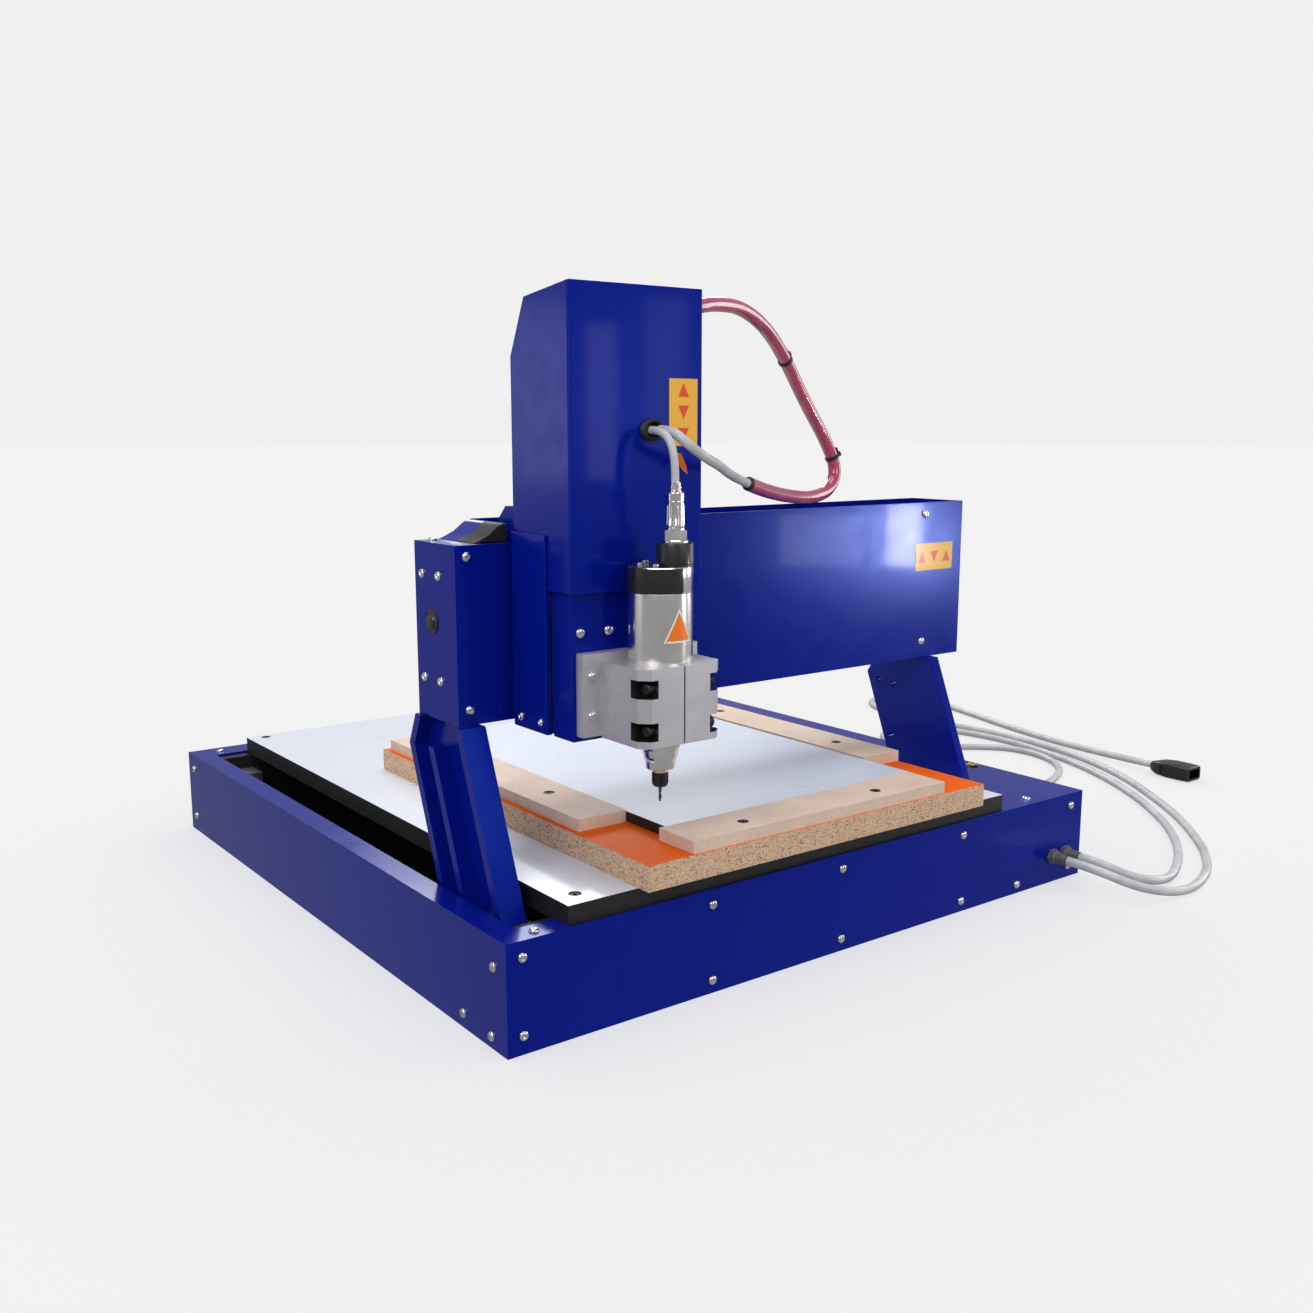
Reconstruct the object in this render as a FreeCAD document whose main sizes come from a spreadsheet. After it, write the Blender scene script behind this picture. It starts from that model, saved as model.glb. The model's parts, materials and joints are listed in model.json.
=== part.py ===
import FreeCAD, Part
import math
import os
import re
import Sketcher

# A bench-top moving-gantry router. Millimetres, +Z up, +X to the operator's right, +Y to the rear.
# The origin is the middle of the base's underside. In the formulas y is measured from the base's front face.

SIZES = {
    # base box
    "base_width": 900, "base_depth": 940, "base_height": 117, "sheet": 3,
    "left_lip": 28, "left_slot": 47, "right_slot": 24, "right_deck": 138, "deck_tab": 27,
    "member_depth": 40, "rear_member": 60, "member_wall": 4,
    # table and work holding
    "table_front": 6, "table_depth": 891, "table_thick": 23,
    "spoil_left": -290, "spoil_width": 518, "spoil_front": -12, "spoil_depth": 612, "spoil_thick": 28,
    "bar_thick": 14, "bar_back": 590, "front_bar_left": -230, "front_bar_width": 387, "front_bar_depth": 60,
    "side_bar_width": 64, "left_bar_left": -283, "left_bar_front": 126, "right_bar_left": 165,
    "sheet_gap": 1, "sheet_thick": 12,
    # feed in Y
    "shaft_radius": 10, "shaft_height": 77, "bearing_clear": 0.05, "end_block": 14, "end_clear": 2, "rear_block": 40,
    "block_width": 44, "block_front": 70, "block_length": 120, "block_top": 98, "block_low": 56,
    "y_screw_radius": 8, "y_screw_height": 40, "y_motor_side": 57, "y_motor_long": 76,
    "y_front_mount": 48, "y_rear_mount": 751, "mount_long": 20, "brace_front": 110, "brace_depth": 38,
    "brace_low": 62, "brace_high": 92,
    # legs
    "leg_wall": 12, "leg_gap": 14, "right_leg_gap": 6, "leg_front": 58, "leg_depth": 132, "leg_lean": 0.4,
    "leg_kink": 261, "rib_out": 17, "rib_wall": 12, "mid_rib": 74, "mid_rib_top": 265, "web_top": 446,
    # beam
    "beam_front": 150, "beam_depth": 89, "beam_low": 296, "beam_high": 503, "beam_left": -413,
    "beam_right": 359, "end_box_width": 68, "end_box_high": 483, "bearing_hole": 13,
    "profile_front": 158, "profile_depth": 76, "profile_low": 330, "profile_high": 450, "profile_wall": 5,
    # feed in X
    "x_rail_width": 12, "x_rail_high": 10, "x_rail_front": 170, "x_rail_back": 220, "x_block_width": 27,
    "x_block_long": 45, "x_block_high": 16, "fit_gap": 0.3, "x_screw_radius": 5, "x_screw_y": 195,
    "x_screw_height": 460, "x_mount_half": 9, "x_mount_long": 18, "x_motor_side": 42, "x_motor_long": 40,
    # X carriage and tower
    "tower_x": -266.5, "tower_width": 161, "tower_wall": 4, "tower_front": 36, "tower_back": 145.5,
    "tower_top": 738, "tower_rear_top": 728, "chamfer_low": 671, "chamfer_back": 27, "cover_low": 439,
    "cheek_front": 80, "cheek_top": 495, "cheek_wall": 3, "tower_low": 291,
    "plate_wall": 7, "plate_top": 640, "saddle_half": 60, "saddle_low": 470, "arm_low": 506,
    "arm_high": 518,
    "bracket_wide": 21, "bracket_low": 470, "bracket_high": 530, "bracket_front": 105,
    # feed in Z
    "z_rail_offset": 50, "z_rail_wide": 15, "z_rail_deep": 10, "z_rail_low": 295, "z_rail_high": 610,
    "z_screw_radius": 6, "z_screw_y": 118, "z_screw_low": 302, "z_screw_high": 633.7,
    "z_mount_low": 300, "z_mount_top": 600, "z_mount_high": 18, "z_mount_half": 20, "z_motor_side": 42,
    "z_motor_high": 33, "motor_plate": 6,
    # spindle slide
    "slide_gap": 0.5, "slide_front": 43, "slide_wall": 8, "slide_flange": 4, "slide_back": 79,
    "slide_low": 290, "slide_high": 545, "carrier_half": 58, "carrier_low": 320, "carrier_high": 540,
    "carrier_wall": 6, "z_block_wide": 34, "z_block_high": 40, "z_block_low": 360, "z_block_top": 480,
    "nut_low": 420, "nut_high": 460,
    # clamp and spindle
    "clamp_half": 50, "clamp_front": -40, "clamp_low": 294, "clamp_high": 372, "clamp_chamfer": 10,
    "clamp_slit": 2, "flange_half": 72, "flange_wall": 12, "flange_low": 296, "flange_high": 380,
    "pocket_wide": 18, "pocket_deep": 21, "pocket_high": 18, "pocket_low": 301, "pocket_top": 343,
    "spindle_y": 0, "spindle_radius": 32.5, "clamp_fit": 0.1, "body_low": 294.5, "body_high": 442,
    "cap_high": 25, "boss_radius": 18.5, "boss_high": 23, "boss_x": 10, "boss_y": -11,
    "nose_top_radius": 22, "nose_low_radius": 15, "nose_high": 33, "shaft_bore": 8, "rotor_shaft": 7.5,
    "rotor_radius": 20, "nut_radius": 8.5, "collet_high": 15, "bit_radius": 1.6, "bit_long": 16,
    # fasteners and cables
    "bolt_radius": 5.2, "bolt_head": 3.2, "bolt_shank": 3, "bolt_long": 7, "hole_gap": 0.25,
    "dark_head": 6.5, "dark_high": 3.5, "dark_shank": 2.6, "gland_radius": 11, "gland_tip": 7.4,
    "gland_long": 26, "gland_high": 36, "gland_first": 390, "gland_second": 416, "side_gland": 290,
    "grommet_x": 16.5, "grommet_height": 598, "grommet_radius": 12, "tower_gland_y": 91,
    "tower_gland_height": 723, "plug_wide": 42, "plug_long": 80, "plug_high": 26, "plug_x": 1012,
    "plug_front": 168,
}

CABLE = 12
HARNESS = 10
CONDUIT = 16
LEAD = 8

# Routes are lists of points: x from the centre, y from the base's front face, z up from the floor.
CABLE_A = [
    (390, -26, 36), (390, -70, 36), (412, -120, 20), (478, -144, 7), (566, -122, 7), (646, -72, 7),
    (716, -10, 7), (784, 60, 7), (846, 140, 7), (908, 226, 7), (958, 322, 7), (992, 426, 7),
    (1004, 530, 7), (1000, 636, 7), (984, 736, 7), (980, 836, 7), (1000, 922, 7), (1056, 966, 7),
    (1118, 940, 7), (1138, 864, 7), (1116, 764, 7), (1086, 664, 7), (1060, 564, 7), (1042, 466, 7),
    (1028, 376, 9), (1012, 306, 13), (1012, 248, 13),
]
CABLE_B = [
    (416, -26, 36), (416, -58, 36), (440, -98, 20), (504, -104, 7), (588, -66, 7), (660, -18, 7),
    (724, 38, 7), (780, 100, 7), (834, 170, 7), (884, 250, 7), (926, 338, 7), (956, 432, 7),
    (972, 528, 7), (966, 624, 7), (932, 704, 7), (864, 734, 7), (798, 702, 7), (780, 634, 7),
    (822, 574, 7), (888, 540, 7), (934, 484, 7), (926, 406, 7), (882, 344, 7), (812, 304, 7),
    (728, 285, 7), (652, 281, 7), (590, 287, 15), (530, 290, 36), (476, 290, 36),
]
HARNESS_ROUTE = [
    (-245, 28, 598), (-245, 8, 597.5), (-238, -8, 584), (-214, -5, 571), (-180, 14, 562), (-145, 42, 553),
    (-110, 66, 545), (-54, 98, 533), (-2, 126, 524), (54, 152, 517), (106, 174, 514), (148, 189, 522),
    (166, 196, 548), (146, 198, 586), (104, 192, 632), (60, 181, 682), (14, 164, 716), (-44, 142, 735),
    (-104, 116, 734), (-146, 97, 727), (-176.5, 91, 723),
]
CONDUIT_FROM = 6
LEAD_ROUTE = [(-256, 28, 598), (-258, 6, 598), (-256.5, -11, 578), (-256.5, -11, 548.5)]

doc = FreeCAD.newDocument("Router")
sheet = doc.addObject("Spreadsheet::Sheet", "Sizes")
for row, (word, number) in enumerate(SIZES.items(), start=1):
    sheet.set(f"A{row}", word)
    sheet.set(f"B{row}", str(number))
    sheet.setAlias(f"B{row}", word)
doc.recompute()

parts = []
counter = iter(range(1, 10000))


# ---- helpers -----------------------------------------------------------------------------------------

def formula(text):
    """The text with each size's name replaced by its spreadsheet cell."""
    return re.sub(r"[a-z_]+", lambda word: "Sizes." + word[0] if word[0] in SIZES else word[0], str(text))


def size(word):
    """A size's present value in the sheet."""
    return float(sheet.get(word))


def add(kind):
    """A new document object with a running name."""
    return doc.addObject(kind, f"Piece{next(counter)}")


def put(thing, x, y, z):
    """Bind a thing's place to the sheet."""
    thing.setExpression("Placement.Base.x", formula(x))
    thing.setExpression("Placement.Base.y", formula(f"({y}) - base_depth / 2"))
    thing.setExpression("Placement.Base.z", formula(z))
    return thing


def block(x, y, z):
    """A box from a (low, high) pair of formulas on each axis."""
    thing = add("Part::Box")
    for side, (low, high) in zip(("Length", "Width", "Height"), (x, y, z)):
        thing.setExpression(side, formula(f"({high}) - ({low})"))
    return put(thing, x[0], y[0], z[0])


def rod(axis, x, y, z, radius, length):
    """A cylinder from a point along +x, +y, +z or -y."""
    turns = {"x": ((0, 1, 0), 90), "y": ((1, 0, 0), -90), "z": ((0, 0, 1), 0), "-y": ((1, 0, 0), 90)}
    turns["-x"] = ((0, 1, 0), -90)
    thing = add("Part::Cylinder")
    direction, angle = turns[axis]
    thing.Placement = FreeCAD.Placement(
        FreeCAD.Vector(0, 0, 0), FreeCAD.Rotation(FreeCAD.Vector(*direction), angle))
    thing.setExpression("Radius", formula(radius))
    thing.setExpression("Height", formula(length))
    return put(thing, x, y, z)


def group(things):
    """Separate solids kept together."""
    thing = add("Part::Compound")
    thing.Links = things
    return thing


def fuse(things):
    """One solid from several."""
    thing = add("Part::MultiFuse")
    thing.Shapes = things
    return thing


def cut(base, tools):
    """The base without the tools."""
    thing = add("Part::Cut")
    thing.Base = base
    thing.Tool = fuse(tools) if len(tools) > 1 else tools[0]
    return thing


def part(node, thing):
    """Name a finished sub-part."""
    thing.Label = node
    parts.append(thing)
    return thing


def plane_of(body, role):
    """One of a body's own origin planes."""
    return [feature for feature in body.Origin.OriginFeatures if feature.Role == role][0]


def outline(body, role, corners):
    """A closed sketch of straight lines whose corners are bound to the sheet."""
    sketch = body.newObject("Sketcher::SketchObject", f"Sketch{next(counter)}")
    sketch.AttachmentSupport = [(plane_of(body, role), "")]
    sketch.MapMode = "FlatFace"
    count = len(corners)
    ring = [
        FreeCAD.Vector(100 * math.cos(2 * math.pi * k / count), 100 * math.sin(2 * math.pi * k / count), 0)
        for k in range(count)
    ]
    for k in range(count):
        sketch.addGeometry(Part.LineSegment(ring[k], ring[(k + 1) % count]))
    for k in range(count):
        sketch.addConstraint(Sketcher.Constraint("Coincident", k, 2, (k + 1) % count, 1))
    for k, corner in enumerate(corners):
        for kind, text in zip(("DistanceX", "DistanceY"), corner):
            number = sketch.addConstraint(Sketcher.Constraint(kind, -1, 1, k, 1, 1.0))
            sketch.setExpression(f"Constraints[{number}]", formula(text))
    return sketch


def prism(role, pads):
    """A body of pads on one plane: each pad is (corners, start, end) along the plane's own axis."""
    body = add("PartDesign::Body")
    for corners, start, end in pads:
        sketch = outline(body, role, corners)
        sketch.setExpression("AttachmentOffset.Base.z", formula(start))
        pad = body.newObject("PartDesign::Pad", f"Pad{next(counter)}")
        pad.Profile = sketch
        pad.setExpression("Length", formula(f"({end}) - ({start})"))
        sketch.Visibility = False
    return put(body, "0", "0", "0")


def turned(profile, x, y, z, direction=(0, 0, 1), angle=0):
    """A body turned from a profile of (radius, height) corners about its own axis."""
    body = add("PartDesign::Body")
    sketch = outline(body, "XZ_Plane", profile)
    spin = body.newObject("PartDesign::Revolution", f"Turn{next(counter)}")
    spin.Profile = sketch
    spin.ReferenceAxis = (sketch, ["V_Axis"])
    spin.Angle = 360
    body.Placement = FreeCAD.Placement(
        FreeCAD.Vector(0, 0, 0), FreeCAD.Rotation(FreeCAD.Vector(*direction), angle))
    return put(body, x, y, z)


def bolt(face, x, y, z):
    """A domed bolt whose head sits on a face and whose shank goes the other way."""
    turns = {"front": ((1, 0, 0), 90), "back": ((1, 0, 0), -90), "left": ((0, 1, 0), -90),
             "right": ((0, 1, 0), 90), "top": ((0, 0, 1), 0)}
    profile = [
        ("0", "-bolt_long"), ("bolt_shank", "-bolt_long"), ("bolt_shank", "0"), ("bolt_radius", "0"),
        ("bolt_radius", "bolt_head * 0.45"), ("bolt_radius * 0.62", "bolt_head"), ("0", "bolt_head"),
    ]
    return turned(profile, x, y, z, *turns[face])


def bolt_hole(axis, x, y, z, length):
    """The clearance hole of a bolt."""
    return rod(axis, x, y, z, "bolt_shank + hole_gap", length)


def dark_screw(x, y, z):
    """A dark flat-headed screw sunk flush with z."""
    profile = [("0", "-dark_high - 10"), ("dark_shank", "-dark_high - 10"), ("dark_shank", "-dark_high"),
               ("dark_head", "-dark_high"), ("dark_head", "0"), ("0", "0")]
    return turned(profile, x, y, z)


def dark_hole(x, y, z):
    """The counterbored hole of a dark screw."""
    return fuse([
        rod("z", x, y, f"({z}) - dark_high", "dark_head + hole_gap", "dark_high + 1"),
        rod("z", x, y, f"({z}) - dark_high - 10.5", "dark_shank + hole_gap", "11"),
    ])


def route_wire(points):
    """Straight runs joined by tangent arcs as large as the runs allow, and the arcs' radii."""
    shift = -size("base_depth") / 2
    nodes = [FreeCAD.Vector(x, y + shift, z) for x, y, z in points]
    edges = []
    radii = []
    start = nodes[0]
    for before, here, after in zip(nodes, nodes[1:], nodes[2:]):
        first = here - before
        second = after - here
        turn = first.getAngle(second)
        reach = 0.45 * min(first.Length, second.Length)
        radii.append(reach / math.tan(turn / 2))
        first.normalize()
        second.normalize()
        enter = here - first * reach
        leave = here + second * reach
        inward = FreeCAD.Vector(second - first).normalize()
        depth = radii[-1] / math.cos(turn / 2) - radii[-1]
        middle = here + inward * depth
        edges.append(Part.LineSegment(start, enter).toShape())
        edges.append(Part.Arc(enter, middle, leave).toShape())
        start = leave
    edges.append(Part.LineSegment(start, nodes[-1]).toShape())
    return Part.Wire(edges), radii


def tube(node, points, diameter):
    """A round cable along a route."""
    wire, radii = route_wire(points)
    first = wire.Edges[0]
    direction = first.tangentAt(first.FirstParameter)
    ring = Part.Wire(Part.makeCircle(diameter / 2, first.valueAt(first.FirstParameter), direction))
    shape = wire.makePipeShell([ring], True, False)
    thing = add("Part::Feature")
    thing.Shape = shape if shape.ShapeType == "Solid" else Part.Solid(Part.Shell(shape.Faces))
    section = math.pi * diameter ** 2 / 4
    ratio = thing.Shape.Volume / (section * wire.Length)
    print(f"{node}: length {wire.Length:.0f}, smallest radius {min(radii):.0f}, volume ratio {ratio:.4f}")
    if abs(ratio - 1) > 0.01:
        raise RuntimeError(f"{node} has the wrong volume")
    return part(node, thing)


# ---- places that several sub-parts share ---------------------------------------------------------------

deck = "(base_height - sheet)"
table_left = "(-base_width / 2 + left_lip + left_slot)"
table_right = "(base_width / 2 - right_deck - right_slot)"
table_top = f"({deck} + table_thick)"
spoil_top = f"({table_top} + spoil_thick)"
bar_top = f"({spoil_top} + bar_thick)"
left_web = f"({table_left} - leg_gap - leg_wall)"
right_web = f"({table_right} + right_leg_gap)"
left_shaft = f"({left_web} + leg_wall / 2)"
right_shaft = f"({right_web} + leg_wall / 2)"
middle_x = f"(({left_shaft} + {right_shaft}) / 2)"
half = "(base_width / 2)"
beam_back = "(beam_front + beam_depth)"
box_right = "(beam_left + end_box_width)"
tower_left = "(tower_x - tower_width / 2)"
tower_right = "(tower_x + tower_width / 2)"
plate_front = "(tower_back - plate_wall)"
rail_front = f"({plate_front} - z_rail_deep)"

FRONT_BOLTS = [(-432, 100), (-196, 100), (-3, 100), (207, 100), (425, 100),
               (-432, 20), (-196, 15), (-3, 15), (207, 14), (425, 16), (317, 12)]
SIDE_BOLTS = [(24, 87), (87, 16), (30, 13), (915, 96), (915, 24)]
DECK_BOLTS = [(-410, 14), (354, 19), (-410, 917), (354, 917)]
TABLE_SCREWS = [(-350, 32), (-350, 884), (263, 32), (263, 884)]
BAR_SCREWS = [(-143, 14), (62, 14), (-250, 238), (-250, 431), (197, 216), (197, 463)]
COVER_BOLTS = [(285, 488), (285, 318), (-400, 471), (-400, 312)]
END_BOLTS = [(186, 338), (222, 338), (186, 449), (222, 449)]


# ---- base ----------------------------------------------------------------------------------------------

def base_panels():
    """The five sheet-metal panels of the base and its deck plate."""
    tabs = [
        block((f"-{half} + left_lip", table_left), ("sheet", "sheet + deck_tab"), (deck, "base_height")),
        block((table_right, f"{half} - right_deck"), ("sheet", "sheet + deck_tab"), (deck, "base_height")),
    ]
    face = block((f"-{half}", half), ("0", "sheet"), ("0", "base_height"))
    holes = [bolt_hole("y", x, "-1", z, "sheet + 2") for x, z in FRONT_BOLTS]
    holes.append(bolt_hole("z", DECK_BOLTS[0][0], DECK_BOLTS[0][1], f"{deck} - 1", "sheet + 2"))
    part("front_panel", cut(fuse([face] + tabs), holes))

    rear_strip = ("base_depth - sheet - 40", "base_depth - sheet")
    face = block((f"-{half}", half), ("base_depth - sheet", "base_depth"), ("0", "base_height"))
    strip = block((f"-{half} + left_lip", f"{half} - right_deck"), rear_strip, (deck, "base_height"))
    hole = bolt_hole("z", DECK_BOLTS[2][0], DECK_BOLTS[2][1], f"{deck} - 1", "sheet + 2")
    part("rear_panel", cut(fuse([face, strip]), [hole]))

    inside = ("sheet", "base_depth - sheet")
    corners = [(f"-{half}", "0"), (f"-{half} + sheet", "0"), (f"-{half} + sheet", deck),
               (f"-{half} + left_lip", deck), (f"-{half} + left_lip", "base_height"),
               (f"-{half}", "base_height")]
    left = prism("XZ_Plane", [(corners, "-base_depth + sheet", "-sheet")])
    part("left_side_panel",
         cut(left, [bolt_hole("x", f"-{half} - 1", y, z, "sheet + 2") for y, z in SIDE_BOLTS]))
    right = block((f"{half} - sheet", half), inside, ("0", "base_height"))
    holes = [bolt_hole("x", f"{half} - sheet - 1", y, z, "sheet + 2") for y, z in SIDE_BOLTS]
    part("right_side_panel", cut(right, holes))

    plate = block((f"{half} - right_deck", f"{half} - sheet"), inside, (deck, "base_height"))
    holes = [bolt_hole("z", x, y, f"{deck} - 1", "sheet + 2") for x, y in (DECK_BOLTS[1], DECK_BOLTS[3])]
    part("right_deck_plate", cut(plate, holes))
    part("floor_pan", block((f"-{half} + sheet", f"{half} - sheet"), inside, ("0", "sheet")))


def cross_member(front, depth, face_bolts):
    """One hollow cross member of the base frame, drilled for the panels' bolts."""
    x = (f"-{half} + sheet", f"{half} - sheet")
    back = f"({front}) + {depth}"
    outer = block(x, (front, back), ("sheet", deck))
    inner = block((f"{x[0]} - 1", f"{x[1]} + 1"), (f"({front}) + member_wall", f"{back} - member_wall"),
                  ("sheet + member_wall", f"{deck} - member_wall"))
    return cut(outer, [inner] + face_bolts)


def base_frame():
    """The two cross members that carry the table."""
    wall_holes = [bolt_hole("y", x, "sheet - 1", z, "member_wall + 2") for x, z in FRONT_BOLTS]
    wall_holes += [bolt_hole("z", x, y, f"{deck} - member_wall - 1", "member_wall + 2")
                   for x, y in DECK_BOLTS[:2]]
    front_screws = [bolt_hole("z", x, y, f"{deck} - member_wall - 1", "member_wall + 2")
                    for x, y in TABLE_SCREWS if y < 100]
    front = cross_member("sheet", "member_depth", wall_holes + front_screws)
    rear_holes = [bolt_hole("z", x, y, f"{deck} - member_wall - 1", "member_wall + 2")
                  for x, y in DECK_BOLTS[2:]]
    rear_holes += [bolt_hole("z", x, y, f"{deck} - member_wall - 1", "member_wall + 2")
                   for x, y in TABLE_SCREWS if y > 100]
    rear = cross_member("base_depth - sheet - rear_member", "rear_member", rear_holes)
    part("cross_members", group([front, rear]))


def table():
    """The laminated table board and the dark screws that hold it and the work-holding bars."""
    board = block((table_left, table_right), ("table_front", "table_front + table_depth"),
                  (deck, table_top))
    part("table_board", cut(board, [dark_hole(x, y, table_top) for x, y in TABLE_SCREWS]))
    screws = [dark_screw(x, y, table_top) for x, y in TABLE_SCREWS]
    screws += [dark_screw(x, y, bar_top) for x, y in BAR_SCREWS]
    part("dark_screws", group(screws))


def work_holding():
    """The particle board, the three clamping bars and the work sheet between them."""
    spoil = block(("spoil_left", "spoil_left + spoil_width"), ("spoil_front", "spoil_front + spoil_depth"),
                  (table_top, spoil_top))
    part("spoil_board", spoil)
    height = (spoil_top, bar_top)
    front = block(("front_bar_left", "front_bar_left + front_bar_width"),
                  ("spoil_front + 2", "spoil_front + 2 + front_bar_depth"), height)
    left = block(("left_bar_left", "left_bar_left + side_bar_width"), ("left_bar_front", "bar_back"),
                 height)
    right = block(("right_bar_left", "right_bar_left + side_bar_width"), ("left_bar_front + 6", "bar_back"),
                  height)
    bars = [cut(bar, [dark_hole(x, y, bar_top) for x, y in BAR_SCREWS[2 * k:2 * k + 2]])
            for k, bar in enumerate((front, left, right))]
    part("clamp_bars", group(bars))
    work = block(("left_bar_left + side_bar_width + sheet_gap", "right_bar_left - sheet_gap"),
                 ("spoil_front + 2 + front_bar_depth + sheet_gap", "bar_back"),
                 (spoil_top, f"{spoil_top} + sheet_thick"))
    part("work_sheet", work)


def y_feed():
    """The guide shafts with their end blocks, and the screw mounts and motor under the table."""
    front = "sheet + member_depth"
    rear = "base_depth - sheet - rear_member"
    shafts = [rod("y", x, f"{front} + 1", "shaft_height", "shaft_radius", f"({rear}) - ({front}) - 2")
              for x in (left_shaft, right_shaft)]
    part("y_guide_shafts", group(shafts))
    blocks = []
    for x in (left_shaft, right_shaft):
        for low, high in ((front, f"{front} + end_block"), (f"{rear} - rear_block", rear)):
            body = block((f"{x} - block_width / 2 + 2", f"{x} + block_width / 2 - 2"), (low, high),
                         ("block_low", "block_top - end_clear"))
            bore = rod("y", x, f"{low} - 1", "shaft_height", "shaft_radius + 0.02",
                       f"({high}) - ({low}) + 2")
            blocks.append(cut(body, [bore]))
    mounts = []
    for low in ("y_front_mount", "y_rear_mount"):
        body = block((f"{middle_x} - 24", f"{middle_x} + 24"), (low, f"{low} + mount_long"),
                     ("sheet", "y_screw_height + 20"))
        mounts.append(cut(body,
                          [rod("y", middle_x, f"{low} - 1", "y_screw_height",
                               "y_screw_radius + bearing_clear", "mount_long + 2")]))
    plate = block((f"{middle_x} - 35", f"{middle_x} + 35"), ("y_rear_mount + 32", "y_rear_mount + 38"),
                  ("sheet", "y_screw_height + 32"))
    mounts.append(cut(plate,
                      [rod("y", middle_x, "y_rear_mount + 31", "y_screw_height", "y_screw_radius + 3",
                           "8")]))
    part("y_feed_supports", group(blocks + mounts))
    part("y_ball_screw",
         rod("y", middle_x, "y_front_mount + 2", "y_screw_height", "y_screw_radius",
             "y_rear_mount - y_front_mount + 35.5"))
    motor = block((f"{middle_x} - y_motor_side / 2", f"{middle_x} + y_motor_side / 2"),
                  ("y_rear_mount + 38", "y_rear_mount + 38 + y_motor_long"),
                  ("y_screw_height - y_motor_side / 2", "y_screw_height + y_motor_side / 2"))
    part("y_motor", motor)
    part("driver_box", block(("330", "440"), ("140", "520"), ("sheet", "96")))


def base_fasteners():
    """The bright domed bolts of the base's panels."""
    bolts = [bolt("front", x, "0", z) for x, z in FRONT_BOLTS]
    bolts += [bolt("left", f"-{half}", y, z) for y, z in SIDE_BOLTS]
    bolts += [bolt("right", half, y, z) for y, z in SIDE_BOLTS]
    bolts += [bolt("top", x, y, "base_height") for x, y in DECK_BOLTS]
    part("base_bolts", group(bolts))


def gland(x, y, z, direction, angle):
    """A cable gland with a tapered sleeve that stands out of a wall."""
    profile = [("0", "0"), ("gland_radius", "0"), ("gland_radius", "4"), ("gland_tip + 1.6", "7"),
               ("gland_tip", "gland_long"), ("0", "gland_long")]
    return turned(profile, x, y, z, direction, angle)


def base_cables():
    """The glands, the two cables that lie on the floor, and the plug."""
    front = [gland(x, "0", "gland_high", (1, 0, 0), 90) for x in ("gland_first", "gland_second")]
    side = gland(half, "side_gland", "gland_high", (0, 1, 0), 90)
    part("cable_glands", group(front + [side]))
    tube("cable_a", CABLE_A, CABLE)
    tube("cable_b", CABLE_B, CABLE)
    body = block(("plug_x - plug_wide / 2", "plug_x + plug_wide / 2"),
                 ("plug_front", "plug_front + plug_long"),
                 ("0", "plug_high"))
    part("cable_plug", body)


# ---- gantry --------------------------------------------------------------------------------------------

def lean(distance, height):
    """How far back a point of the leaning leg lies at a height."""
    return f"leg_front + ({distance}) + leg_lean * (({height}) - block_top)"


def leg_web(start, end):
    """The flat web of a leg and the upright that carries the beam."""
    corners = [
        (lean("0", "block_top"), "block_top"), (lean("leg_depth", "block_top"), "block_top"),
        (lean("leg_depth", "leg_kink"), "leg_kink"), (beam_back + " - sheet - 3", "beam_low"),
        (beam_back + " - sheet - 3", "web_top"), ("profile_front", "web_top"),
        ("profile_front", "beam_low"),
        (lean("0", "beam_low"), "beam_low"),
    ]
    return corners, start, end


def rib(distance, top, rear=False):
    """One outward rib of a leg."""
    high = [(lean(f"{distance} + rib_wall", top), top), (lean(distance, top), top)]
    if rear:
        high = [(lean(f"{distance} + rib_wall", "leg_kink"), "leg_kink"), (beam_back, "beam_low"),
                (f"{beam_back} - rib_wall", "beam_low"), (lean(distance, "leg_kink"), "leg_kink")]
    return [(lean(distance, "block_top"), "block_top"),
            (lean(f"{distance} + rib_wall", "block_top"), "block_top")] + high


def legs():
    """The two leaning legs of welded plate."""
    out = f"{left_web} - rib_out"
    web = leg_web(left_web, f"{left_web} + leg_wall")
    ribs = [(rib("0", "beam_low"), out, left_web), (rib("mid_rib", "mid_rib_top"), out, left_web),
            (rib("leg_depth - rib_wall", "leg_kink", True), out, left_web)]
    left = prism("YZ_Plane", [web] + ribs)
    holes = [bolt_hole("x", f"{left_web} - 1", y, z, "leg_wall + 2") for y, z in END_BOLTS]
    part("left_leg", cut(left, holes))
    right = prism("YZ_Plane", [leg_web(right_web, f"{right_web} + leg_wall")])
    marks = [(232, 252), (206, 250), (206, 176)]
    holes = [rod("x", f"{right_web} - 1", y, z, "5", "leg_wall + 2") for y, z in marks]
    holes.append(rod("x", f"{right_web} - 1", "x_screw_y", "x_screw_height", "x_screw_radius + 3",
                     "leg_wall + 2"))
    part("right_leg", cut(right, holes))


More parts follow.
